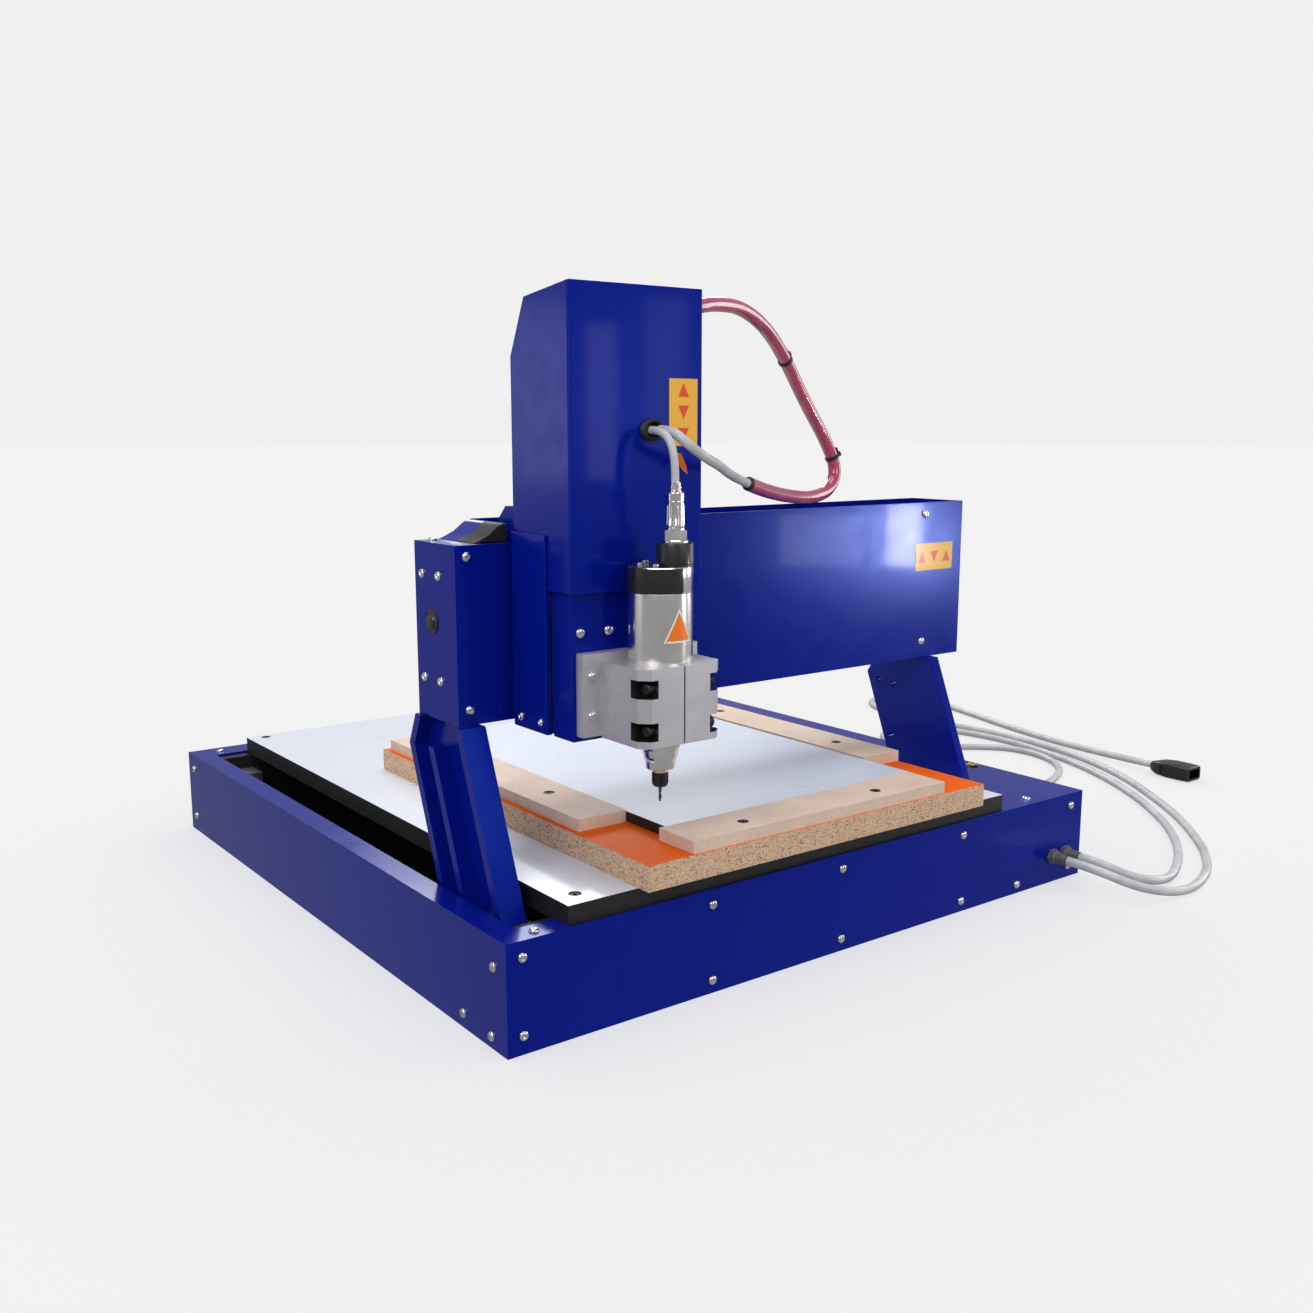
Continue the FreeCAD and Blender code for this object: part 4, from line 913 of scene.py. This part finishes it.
@dataclass
class TowerHarness:
    """The loop of cable between the tower's front and its side, the ties on it and the spindle's lead."""

    cable: float = 10.0
    conduit: float = 16.0
    cable_long: float = 0.228
    conduit_long: float = 0.724
    lead: float = 8.0
    ties: Sequence[Point] = ((152, 197, 562), (60, 181, 682))
    body: str = "x_carriage"

    def build(self) -> None:
        """Makes the loop's two halves, the collar, the ties, the grommet, the gland and the lead."""
        self.add_entries()
        grey = Cable("harness_cable", HARNESS[:SEAM_AFTER] + [SEAM], self.cable, self.cable_long, self.body)
        red = Cable("harness_conduit", [SEAM] + HARNESS[SEAM_AFTER:], self.conduit, self.conduit_long,
                    self.body, "red_conduit", CONDUIT)
        cable, sleeve = grey.build(), red.build()
        line = centreline(sleeve)
        self.add_collar(line)
        self.add_ties(line)
        self.add_lead()

    def add_collar(self, line: Sequence[Vector]) -> Thing:
        """Makes the shrunk collar where the sleeve starts on the grey cable.

        Args:
            line: The sleeve's centreline.

        Returns:
            The collar.
        """
        mesh = bmesh.new()
        start = turned_to((line[1] - line[0]).normalized(), line[0])
        lathe(mesh, [(5.1, -5.0), (6.6, -4.2), (7.3, 0.0), (7.4, 5.0), (6.6, 6.0)], start, 28)
        return finished("harness_collar", mesh, [RUBBER], self.body)

    def add_ties(self, line: Sequence[Vector]) -> Thing:
        """Makes the cable ties round the sleeve.

        Args:
            line: The sleeve's centreline.

        Returns:
            The piece with both ties.
        """
        mesh = bmesh.new()
        outer = self.conduit / 2
        for tie in self.ties:
            index = min(range(1, len(line) - 1), key=lambda i: (line[i] - at(*tie)).length)
            along = (line[index + 1] - line[index - 1]).normalized()
            where = turned_to(along, line[index])
            lathe(mesh, [(outer - 0.3, -2.3), (outer + 0.9, -2.3), (outer + 1.2, -1.9), (outer + 1.2, 1.9),
                         (outer + 0.9, 2.3), (outer - 0.3, 2.3)], where, 28)
            for low, high in (((-3.2, outer, -3.0), (3.2, outer + 4.6, 3.0)),
                              ((-2.0, outer + 1.5, 2.6), (2.0, outer + 3.0, 9.0))):
                block = bmesh.new()
                slab(block, Vector(low) * MM, Vector(high) * MM)
                block.transform(where)
                whole = bpy.data.meshes.new("tie")
                block.to_mesh(whole)
                block.free()
                mesh.from_mesh(whole)
                bpy.data.meshes.remove(whole)
        return rounded(finished("harness_ties", mesh, [RUBBER], self.body), 0.3 * MM)

    def add_entries(self) -> None:
        """Makes the rubber grommet in the tower's front and the gland in its side."""
        mesh = bmesh.new()
        front = turned_to(FRONT, at(-250, 36, 598)) @ Matrix.Diagonal((1.25, 0.95, 1, 1))
        lathe(mesh, [(9.8, -3.0), (11.6, -0.4), (12.2, 1.2), (11.4, 3.6), (9.6, 5.2), (8.2, 4.4), (7.4, 1.0),
                     (7.0, -2.8)], front, 40)
        side = turned_to(RIGHT, at(-186, 91, 723))
        lathe(mesh, [(9.2, 0.0), (9.2, 2.8), (8.8, 3.2)], side, 24, hexagon)
        lathe(mesh, [(8.6, 3.0), (8.8, 4.6), (8.3, 8.0), (7.0, 9.4)], side, 32)
        finished("tower_glands_round", mesh, [RUBBER], self.body, ["tower_glands"])
        mesh = bmesh.new()
        flag = [at(-233, 20, 576), at(-226, 19, 575), at(-219, 19, 562), at(-217, 20, 554),
                at(-222, 21, 558), at(-230, 21, 568)]
        plate(mesh, flag, BACK, 0.5 * MM)
        finished("cable_tag", mesh, [LABEL_ORANGE], self.body)

    def add_lead(self) -> None:
        """Makes the short lead from the tower's front down to the spindle's connector."""
        curve = Cable("spindle_lead", LEAD, self.lead, 0.076, self.body).curve(14, False)
        carrier = bpy.data.objects.new("lead", curve)
        tube = bpy.data.meshes.new_from_object(carrier)
        bpy.data.objects.remove(carrier)
        for face in tube.polygons:
            face.use_smooth = True
        tube.materials.clear()
        tube.materials.append(material(JACKET))
        thing = bpy.data.objects.new("spindle_lead_bend", tube)
        bpy.context.scene.collection.objects.link(thing)
        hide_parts("spindle_lead")
        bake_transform(thing)
        LOG.info("%s between %s and z_head", thing.name, self.body)


# ---- base

@dataclass
class BaseBox:
    """The folded base with its table, boards, bars and bolts."""

    fold: float = 1.3
    half: float = 0.45
    deck: float = 0.117

    def build(self) -> None:
        """Makes the panels, the boards and the fasteners, and dresses the feed under the table."""
        painted(self.fold, "front_panel", "rear_panel", "left_side_panel", "right_side_panel",
                "right_deck_plate")
        self.add_boards()
        DomedBolts("base_bolts").build([(1, -1, BASE_FRONT), (0, -1, -self.half), (0, 1, self.half),
                                        (2, 1, self.deck)])
        SunkScrews().build()
        self.add_terminal()
        # The floor pan is made black so that the slots down to it look dark: painted shade.
        dressed(PAN, "floor_pan", "cross_members", "driver_box")
        dressed(MOTOR, "y_motor")
        dressed(ALU, "y_feed_supports")
        dressed(STEEL, "y_guide_shafts", "y_ball_screw")

    def add_boards(self) -> None:
        """Makes the table board, the spoil board, the bars and the work sheet."""
        def faced(_middle: Vector, normal: Vector) -> int:
            """The upper face is 0 and all others are 1."""
            return 0 if normal.z > 0.9 else 1

        carried("table_board", [WHITE_TOP, CORE], 0.5 * MM, faced)
        carried("spoil_board", [ORANGE_TOP, CHIPS], 0.4 * MM, faced)
        carried("work_sheet", [SHEET_TOP, CORE], 0.4 * MM, faced)
        carried("clamp_bars", [BARS], 1.1 * MM)

    def add_terminal(self) -> None:
        """Makes the small brass earth lug on the right deck."""
        mesh = bmesh.new()
        spot = at(424, 176, 117)
        lathe(mesh, [(4.2, 0.0), (4.2, 1.0), (3.0, 1.4), (3.0, 3.4), (2.4, 4.0)],
              Matrix.Translation(spot), 24)
        for turn in (-0.5, 0.35):
            way = Vector((math.cos(turn), math.sin(turn), 0.0))
            lathe(mesh, [(1.6, 0.0), (2.3, 1.0), (2.3, 11.0), (1.4, 13.0)],
                  turned_to(way, spot + way * 3 * MM + Vector((0, 0, 2.4 * MM))), 12)
        finished("earth_lug", mesh, [BRASS], "base")


# ---- gantry

@dataclass
class Gantry:
    """The leaning legs, the folded beam and its end box."""

    fold: float = 1.2
    beam_front: float = 150.0
    end: float = -413.0
    ramp: Profile = ((-386, 483.2), (-345.4, 483.2), (-345.4, 502), (-349, 502.6), (-356, 500), (-368, 491),
                     (-380, 485.6))

    def build(self) -> None:
        """Makes the painted plates, the bolts and the label, and dresses the feed inside the beam."""
        painted(1.0, "left_leg", "right_leg")
        painted(self.fold, "beam_cover", "beam_end_box")
        front = BASE_FRONT + self.beam_front * MM
        DomedBolts("gantry_bolts").build([(1, -1, front), (0, -1, self.end * MM)])
        self.add_end_trim()
        self.add_ramp()
        Label("beam_label", "gantry", at(270, self.beam_front, 413), 71, 36, Axis.ACROSS).build()
        dressed(ALU, "beam_profile", "y_carriage_blocks", "x_screw_mounts")
        dressed(PAN, "cross_brace")
        dressed(STEEL, "x_rails", "x_ball_screw")
        dressed(MOTOR, "x_motor")

    def add_ramp(self) -> None:
        """Makes the ramp from the end box up to the beam's top: rubber in front and painted behind."""
        mesh = bmesh.new()
        for start, long, finish in ((160, 38, 0), (198, 38, 1)):
            corners = [at(x, start, z) for x, z in self.ramp]
            plate(mesh, corners, BACK, long * MM, finish)
        rounded(finished("beam_ramp", mesh, [RUBBER, BLUE], "gantry"), 1.2 * MM)

    def add_end_trim(self) -> None:
        """Makes the black bearing cap in the end plate's hole and one bolt on the end box."""
        mesh = bmesh.new()
        where = turned_to(LEFT, at(self.end, 203, 400))
        lathe(mesh, [(12.0, -2.0), (13.4, 0.1), (13.2, 1.0), (12.2, 1.4), (11.4, 0.8), (10.6, 0.6),
                     (8.4, 1.4), (7.4, 2.9), (4.0, 3.6), (0.4, 3.7)], where, 40)
        finished("bearing_cap_trim", mesh, [PLASTIC], "gantry")
        mesh = bmesh.new()
        DomedBolts("gantry_bolts").add(mesh, at(-398, 226, 483), UP, 2.0, 0.9)
        finished("end_box_top_bolt", mesh, [BOLT], "gantry")


class Axis(Enum):
    """The way that a label's row of signs runs."""

    ACROSS = 0
    DOWN = 1


@dataclass
class Label:
    """A plain yellow label with three plain red signs and no lettering, on a face that looks forward."""

    name: str
    body: str
    corner: Vector
    wide: float
    high: float
    axis: Axis
    film: float = 0.25
    fill: float = 0.62

    def build(self) -> Thing:
        """Makes the film and the signs.

        Returns:
            The label.
        """
        mesh = bmesh.new()
        sheet = [(0, 0), (self.wide, 0), (self.wide, self.high), (0, self.high)]
        plate(mesh, self.outline(sheet, 0.0), FRONT, self.film * MM)
        across = self.axis is Axis.ACROSS
        long, cross = (self.wide, self.high) if across else (self.high, self.wide)
        size = min(long / 3, cross) * self.fill
        for index, point in enumerate((1, -1, 1) if across else (-1, -1, 1)):
            run = long * (index + 0.5) / 3
            x, z = (run, cross / 2) if across else (cross / 2, run)
            sign = [(x - size / 2, z - point * size / 2), (x + size / 2, z - point * size / 2),
                    (x, z + point * size / 2)]
            plate(mesh, self.outline(sign, self.film), FRONT, 0.12 * MM, 1)
        return finished(self.name, mesh, [LABEL_YELLOW, LABEL_RED], self.body)

    def outline(self, places: Iterable[tuple[float, float]], proud: float) -> list[Vector]:
        """Corners on the label's face, so far in front of it in millimetres."""
        return [self.corner + Vector((x, -proud, z)) * MM for x, z in places]


# ---- carriage and tower

@dataclass
class Tower:
    """The X carriage with the painted tower that it carries."""

    fold: float = 1.3
    front: float = 36.0
    left: float = -347.0

    def build(self) -> None:
        """Makes the painted plates and the trim, and dresses the feed inside the tower."""
        painted(self.fold, "tower_housing", "tower_front_cover", "carriage_cheeks")
        painted(0.6, "carriage_plate")
        self.add_side_bolts()
        Label("tower_label", "x_carriage", at(-228, self.front, 582), 36, 67, Axis.DOWN).build()
        dressed(ALU, "z_screw_mounts", "x_bearing_blocks")
        dressed(BLUE, "saddle")
        dressed(STEEL, "z_rails", "z_ball_screw")
        dressed(MOTOR, "z_motor")

    def add_side_bolts(self) -> None:
        """Makes the two bolts at the bottom of the left cheek."""
        mesh = bmesh.new()
        bolts = DomedBolts("gantry_bolts")
        for y, size in ((130, 0.85), (92, 0.75)):
            bolts.add(mesh, at(self.left - 3, y, 303), LEFT, 2.0, size)
        finished("cheek_bolts", mesh, [BOLT], "x_carriage")


# ---- spindle

@dataclass
class SpindleHead:
    """The slide's plate, the split clamp and the spindle in it."""

    x: float = -266.5
    radius: float = 32.5
    low: float = 294.5
    high: float = 442.0
    cap: float = 467.0
    boss: float = 490.0
    boss_at: tuple[float, float] = (-256.5, -11.0)
    shell_from: float = math.radians(-81)
    shell_to: float = math.radians(4)
    pockets: Sequence[float] = (301.0, 343.0)

    def build(self) -> None:
        """Makes the plate, the clamp, the spindle and its connector, and dresses the carrier."""
        painted(1.0, "spindle_plate")
        self.add_clamp()
        self.add_fasteners()
        self.add_body()
        self.add_cap()
        self.add_connector()
        self.add_nose()
        self.add_mark()
        self.add_seals()
        dressed(ALU, "slide_carrier", "z_bearing_blocks")

    def place(self, z: float) -> Matrix:
        """The spindle's axis, with its zero at a height in millimetres."""
        return Matrix.Translation(at(self.x, 0, z))

    def add_clamp(self) -> None:
        """Makes the split clamp, with the walls of its corner pockets black as painted shade."""
        low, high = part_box("spindle_clamp")

        def pocket_shade(middle: Vector, _normal: Vector) -> int:
            """Faces within a corner pocket are 1, black as painted shade, and all others are 0.

            Args:
                middle: The face's middle.

            Returns:
                The face's material index.
            """
            side = abs(middle.x / MM - self.x)
            depth = (middle.y - low.y) / MM
            tall = any(z - 0.5 <= middle.z / MM <= z + 18.5 for z in self.pockets)
            return 1 if tall and 31.5 < side < 49.9 and 0.2 < depth < 22 else 0

        # The corner pockets' walls take the black plastic finish: painted shade.
        carried("spindle_clamp", [CLAMP, PLASTIC], 0.9 * MM, pocket_shade)

    def add_fasteners(self) -> None:
        """Makes the slide's domed bolts and the clamp's black cap screws."""
        DomedBolts("slide_bolts").build([(1, -1, BASE_FRONT + 31 * MM), (1, -1, BASE_FRONT + 43 * MM)])
        mesh = bmesh.new()
        for low in self.pockets:
            for side in (-1, 1):
                where = turned_to(RIGHT * side, at(self.x + side * 32.5, -30.7, low + 9))
                lathe(mesh, [(5.6, 0.0), (5.8, 0.6), (5.8, 8.0), (5.3, 8.6), (3.4, 8.6)], where, 24)
                lathe(mesh, [(2.9, 8.61), (2.9, 8.65)], where, 24, hexagon)
        finished("clamp_screws", mesh, [DARK], "z_head")

    def add_body(self) -> None:
        """Makes the stainless body with a groove under its cap and a chamfer at each end."""
        mesh = bmesh.new()
        top = self.high - self.low
        lathe(mesh, [(22.0, 0.0), (31.2, 0.0), (self.radius, 1.2), (self.radius, 70.0), (self.radius, 100.0),
                     (self.radius, top - 5.0), (self.radius - 0.5, top - 4.6), (self.radius - 0.5, top - 3.6),
                     (self.radius, top - 3.2), (self.radius, top - 0.8), (31.6, top)],
              self.place(self.low), 96)
        finished("spindle_shell", mesh, [SHELL], "z_head", ["spindle_body"])

    def add_cap(self) -> None:
        """Makes the black cap, the stainless side of it, the boss and the screws on top."""
        mesh = bmesh.new()

        def sided(angle: float, height: float) -> int:
            """The shell's own side is 1, the cap's top edge 1 and the rest 0."""
            bare = self.shell_from <= math.remainder(angle, 2 * math.pi) <= self.shell_to
            return 1 if angle >= 0 and (bare or height > self.cap - self.high - 1.0) else 0

        tall = self.cap - self.high
        lathe(mesh, [(32.2, 0.0), (32.2, 0.8), (32.4, 1.2), (32.4, tall - 1.6), (32.3, tall - 0.9),
                     (31.4, tall)], self.place(self.high), 96, finish=sided)
        boss = Matrix.Translation(at(*self.boss_at, self.cap))
        rise = self.boss - self.cap
        lathe(mesh, [(18.4, 0.0), (18.4, 1.4), (18.0, 1.8), (18.4, 2.4), (18.4, rise - 2.0),
                     (17.9, rise - 0.8), (17.0, rise)], boss, 64)
        for x, y in ((-16.0, -14.0), (-20.0, 6.0), (-4.0, 20.0), (17.0, 14.0)):
            lathe(mesh, [(3.6, 0.0), (3.6, 2.6), (3.0, 3.4), (1.9, 3.4)],
                  Matrix.Translation(at(self.x + x, y, self.cap)), 24, finish=lambda _a, _h: 1)
        finished("spindle_cap_black", mesh, [PLASTIC, SHELL], "z_head", ["spindle_cap"])

    def add_connector(self) -> None:
        """Makes the connector: a flange, a hexagon nut, a fluted sleeve, a ring and a clamped tail."""
        mesh = bmesh.new()
        where = Matrix.Translation(at(*self.boss_at, self.boss))

        def fluted(radius: float, angle: float, height: float) -> float:
            """The sleeve between its end bands has shallow flutes."""
            return radius - (0.45 * (math.cos(14 * angle) > 0.2) if 17 < height < 36 else 0.0)

        lathe(mesh, [(13.2, 0.0), (13.2, 1.6), (12.6, 2.2)], where, 40)
        lathe(mesh, [(10.4, 2.2), (10.8, 2.8), (10.8, 11.4), (10.4, 12.0)], where, 24, hexagon)
        lathe(mesh, [(9.6, 12.0), (9.6, 14.0), (9.0, 14.4), (9.2, 15.4), (9.2, 16.8), (9.2, 17.2),
                     (9.0, 35.8), (9.0, 36.2), (9.0, 38.0), (8.2, 38.6), (8.2, 39.4), (8.9, 40.0),
                     (8.9, 47.6), (8.2, 48.4)], where, 84, fluted)
        lathe(mesh, [(6.4, 48.4), (6.4, 50.0), (5.4, 50.4), (5.4, 52.0), (6.2, 52.4), (6.2, 54.0),
                     (5.4, 54.4), (5.4, 56.4), (5.0, 58.4)], where, 32)
        finished("spindle_connector_metal", mesh, [BRIGHT], "z_head", ["spindle_connector"])

    def add_nose(self) -> None:
        """Makes the polished nose with its shallow wrench scallops."""
        mesh = bmesh.new()

        def scalloped(radius: float, angle: float, height: float) -> float:
            """Six shallow scallops over the taper."""
            return radius - (0.3 * max(0.0, math.cos(6 * angle)) if -24 < height < -9 else 0.0)

        lathe(mesh, [(22.0, 0.0), (22.0, -3.0), (20.6, -4.0), (20.6, -8.6), (20.0, -9.4), (19.0, -13.0),
                     (17.6, -19.0), (16.2, -23.6), (15.6, -24.4), (15.0, -25.0), (15.0, -32.0), (14.0, -33.0),
                     (8.2, -33.0)], self.place(self.low), 96, scalloped)
        finished("spindle_nose_polished", mesh, [BRIGHT], "z_head", ["spindle_nose"])

    def add_seals(self) -> None:
        """Makes the rubber seals that close the gap behind the plate's flanges."""
        mesh = bmesh.new()
        for inner, outer in ((-342.4, -339.4), (-193.6, -190.6)):
            slab(mesh, at(inner, 74, 292), at(outer, 92, 436))
        rounded(finished("slide_seals", mesh, [RUBBER], "z_head"), 0.8 * MM)

    def add_mark(self) -> None:
        """Makes the orange triangle with a white edge that is stuck round the body."""
        mesh = bmesh.new()
        middle = math.radians(-92)
        for size, proud, index in ((33.0, 0.12, 0), (27.5, 0.24, 1)):
            rows = 12
            grid = []
            for row in range(rows + 1):
                share = row / rows
                half = size * 0.5 * (1 - share)
                z = 405.0 + (share - 1 / 3) * size * 1.02
                line = []
                for step in range(7):
                    angle = middle + half * (step / 3 - 1) / self.radius
                    spread = self.radius + proud
                    line.append(mesh.verts.new(at(self.x + spread * math.cos(angle),
                                                  spread * math.sin(angle), z)))
                grid.append(line)
            for first, second in zip(grid, grid[1:]):
                for step in range(6):
                    if second is grid[-1]:
                        face = mesh.faces.new((first[step], first[step + 1], second[3]))
                    else:
                        face = mesh.faces.new((first[step], first[step + 1], second[step + 1], second[step]))
                    face.material_index = index
            for vert in grid[-1][:3] + grid[-1][4:]:
                mesh.verts.remove(vert)
        finished("spindle_mark", mesh, [LABEL_WHITE, LABEL_ORANGE], "z_head")


@dataclass
class Rotor:
    """What turns in the spindle: the shaft's end, the collet nut and the cutter."""

    x: float = -266.5
    nut: float = 257.5
    tip: float = 226.5

    def build(self) -> None:
        """Makes the nut and the fluted cutter, and dresses the shaft."""
        mesh = bmesh.new()

        def slotted(radius: float, angle: float, height: float) -> float:
            """Six wrench slots round the nut's middle."""
            return radius - (1.0 * (math.cos(6 * angle) > 0.72) if -11 < height < -4 else 0.0)

        lathe(mesh, [(7.4, 0.0), (8.5, -0.8), (8.5, -3.6), (8.5, -4.4), (8.5, -10.6), (8.5, -11.2),
                     (7.2, -14.2), (6.0, -15.0), (1.7, -15.0)], Matrix.Translation(at(self.x, 0, self.nut)),
              72, slotted)
        finished("collet_nut_slotted", mesh, [DARK], "rotor", ["collet_nut"])
        mesh = bmesh.new()

        def flutes(radius: float, angle: float, height: float) -> float:
            """Two spiral flutes over the cutting length."""
            deep = max(0.0, math.cos(2 * angle + height * 0.9)) ** 0.6
            return radius * (1 - 0.42 * deep) if height < 11.5 and radius > 1 else radius

        profile = [(0.5, 0.0)] + [(1.58, 0.35 + 0.4 * step) for step in range(40)]
        lathe(mesh, profile, Matrix.Translation(at(self.x, 0, self.tip)), 24, flutes)
        finished("tool_bit_fluted", mesh, [CARBIDE], "rotor", ["tool_bit"])
        dressed(BRIGHT, "rotor_shaft_core")


# ---- studio

@dataclass
class SoftBox:
    """One rectangular soft light."""

    name: str
    spot: Point
    aim: Point
    wide: float
    high: float
    power: float

    def build(self) -> Thing:
        """Makes the light, turned towards its aim.

        Returns:
            The light.
        """
        lamp = bpy.data.lights.new(self.name, "AREA")
        lamp.shape = "RECTANGLE"
        lamp.size, lamp.size_y, lamp.energy = self.wide, self.high, self.power
        thing = bpy.data.objects.new(self.name, lamp)
        thing.location = self.spot
        thing.rotation_euler = (Vector(self.aim) - Vector(self.spot)).to_track_quat("-Z", "Y").to_euler()
        bpy.context.scene.collection.objects.link(thing)
        return thing


@dataclass
class Studio:
    """The camera, the pale floor, the surroundings and the soft lights."""

    eye: Point = (-1.0442, -1.4998, 0.6008)
    tilt: tuple[float, float, float] = (80.1, 0.0, -36.9)
    lens: float = 36.03
    floor: float = 40.0
    surround: float = 0.42
    glint: float = 0.30
    backdrop: float = 0.871
    floor_glow: float = 0.56
    boxes: list[SoftBox] = field(default_factory=lambda: [
        SoftBox("key", (-2.6, -1.6, 2.4), (-0.1, 0.0, 0.3), 1.6, 1.6, 44.0),
        SoftBox("front", (0.6, -3.4, 1.9), (0.0, 0.0, 0.3), 1.4, 1.0, 20.0),
        SoftBox("top", (0.2, 0.3, 3.2), (0.0, 0.0, 0.0), 2.6, 2.6, 62.0),
        SoftBox("rear", (1.6, 2.6, 2.0), (0.0, 0.0, 0.3), 1.6, 1.2, 30.0),
        SoftBox("left_wall", (-3.0, 0.8, 0.9), (-0.27, -0.47, 0.4), 1.3, 1.8, 3.5),
        SoftBox("right_wall", (3.2, -0.8, 0.9), (-0.27, -0.47, 0.4), 1.0, 1.8, 18.0),
        SoftBox("side_glow", (-2.5, 2.9, 0.72), (-0.35, -0.36, 0.6), 0.5, 0.7, 1.5),
        SoftBox("window", (2.12, -2.03, 0.26), (0.26, -0.32, 0.45), 0.11, 0.20, 6.0),
        SoftBox("window_glow", (1.86, -2.14, 0.25), (0.2, -0.32, 0.45), 0.26, 0.16, 1.4),
        SoftBox("strip", (1.45, -2.99, 0.68), (-0.3, -0.43, 0.6), 0.10, 0.5, 0.8),
        SoftBox("strip_glow", (1.72, -2.99, 0.78), (-0.26, -0.43, 0.6), 0.14, 0.5, 0.6),
    ])

    def build_camera(self) -> None:
        """Makes the scene's camera."""
        data = bpy.data.cameras.new("camera")
        data.lens = self.lens
        data.sensor_width = 36.0
        data.clip_start, data.clip_end = 0.02, 200.0
        camera = bpy.data.objects.new("camera", data)
        camera.location = self.eye
        camera.rotation_euler = Euler([math.radians(turn) for turn in self.tilt])
        bpy.context.scene.collection.objects.link(camera)
        bpy.context.scene.camera = camera

    def build(self) -> None:
        """Makes the floor, the surroundings and the lights."""
        mesh = bmesh.new()
        bmesh.ops.create_grid(mesh, x_segments=1, y_segments=1, size=self.floor)
        data = bpy.data.meshes.new("floor")
        mesh.to_mesh(data)
        mesh.free()
        floor = bpy.data.objects.new("floor", data)
        graph = ShaderGraph("pale_floor")
        graph.set(Base_Color=(0.8, 0.8, 0.8), Roughness=0.9, Specular_IOR_Level=0.0,
                  Emission_Color=(1.0, 1.0, 1.0), Emission_Strength=self.floor_glow)
        data.materials.append(graph.material)
        floor.visible_glossy = False
        floor.visible_diffuse = False
        bpy.context.scene.collection.objects.link(floor)
        unlit = bpy.data.collections.new("floor_unlit")
        unlit.objects.link(floor)
        unlit.collection_objects[0].light_linking.link_state = "EXCLUDE"
        for box in self.boxes:
            box.build().light_linking.receiver_collection = unlit
        self.surroundings()
        bpy.context.scene.view_settings.view_transform = "Standard"

    def surroundings(self) -> None:
        """Makes a dim grey room whose far wall looks pale."""
        world = bpy.data.worlds.new("studio")
        bpy.context.scene.world = world
        world.use_nodes = True
        tree = world.node_tree
        background = tree.nodes["Background"]
        path = tree.nodes.new("ShaderNodeLightPath")
        level = tree.nodes.new("ShaderNodeMapRange")
        glint = tree.nodes.new("ShaderNodeMapRange")
        glint.inputs["To Min"].default_value = self.surround
        glint.inputs["To Max"].default_value = self.glint
        tree.links.new(path.outputs["Is Glossy Ray"], glint.inputs["Value"])
        tree.links.new(glint.outputs["Result"], level.inputs["To Min"])
        level.inputs["To Max"].default_value = self.backdrop
        tree.links.new(path.outputs["Is Camera Ray"], level.inputs["Value"])
        tree.links.new(level.outputs["Result"], background.inputs["Strength"])
        background.inputs["Color"].default_value = (1.0, 1.0, 1.0, 1.0)


def main() -> None:
    """Builds the router's sub-assemblies in order, in a plain studio."""
    logging.basicConfig(level=logging.INFO, format="%(message)s")
    studio = Studio()
    studio.build_camera()
    FloorCables().build()
    TowerHarness().build()
    BaseBox().build()
    Gantry().build()
    Tower().build()
    SpindleHead().build()
    Rotor().build()
    studio.build()


if __name__ == "__main__":
    main()
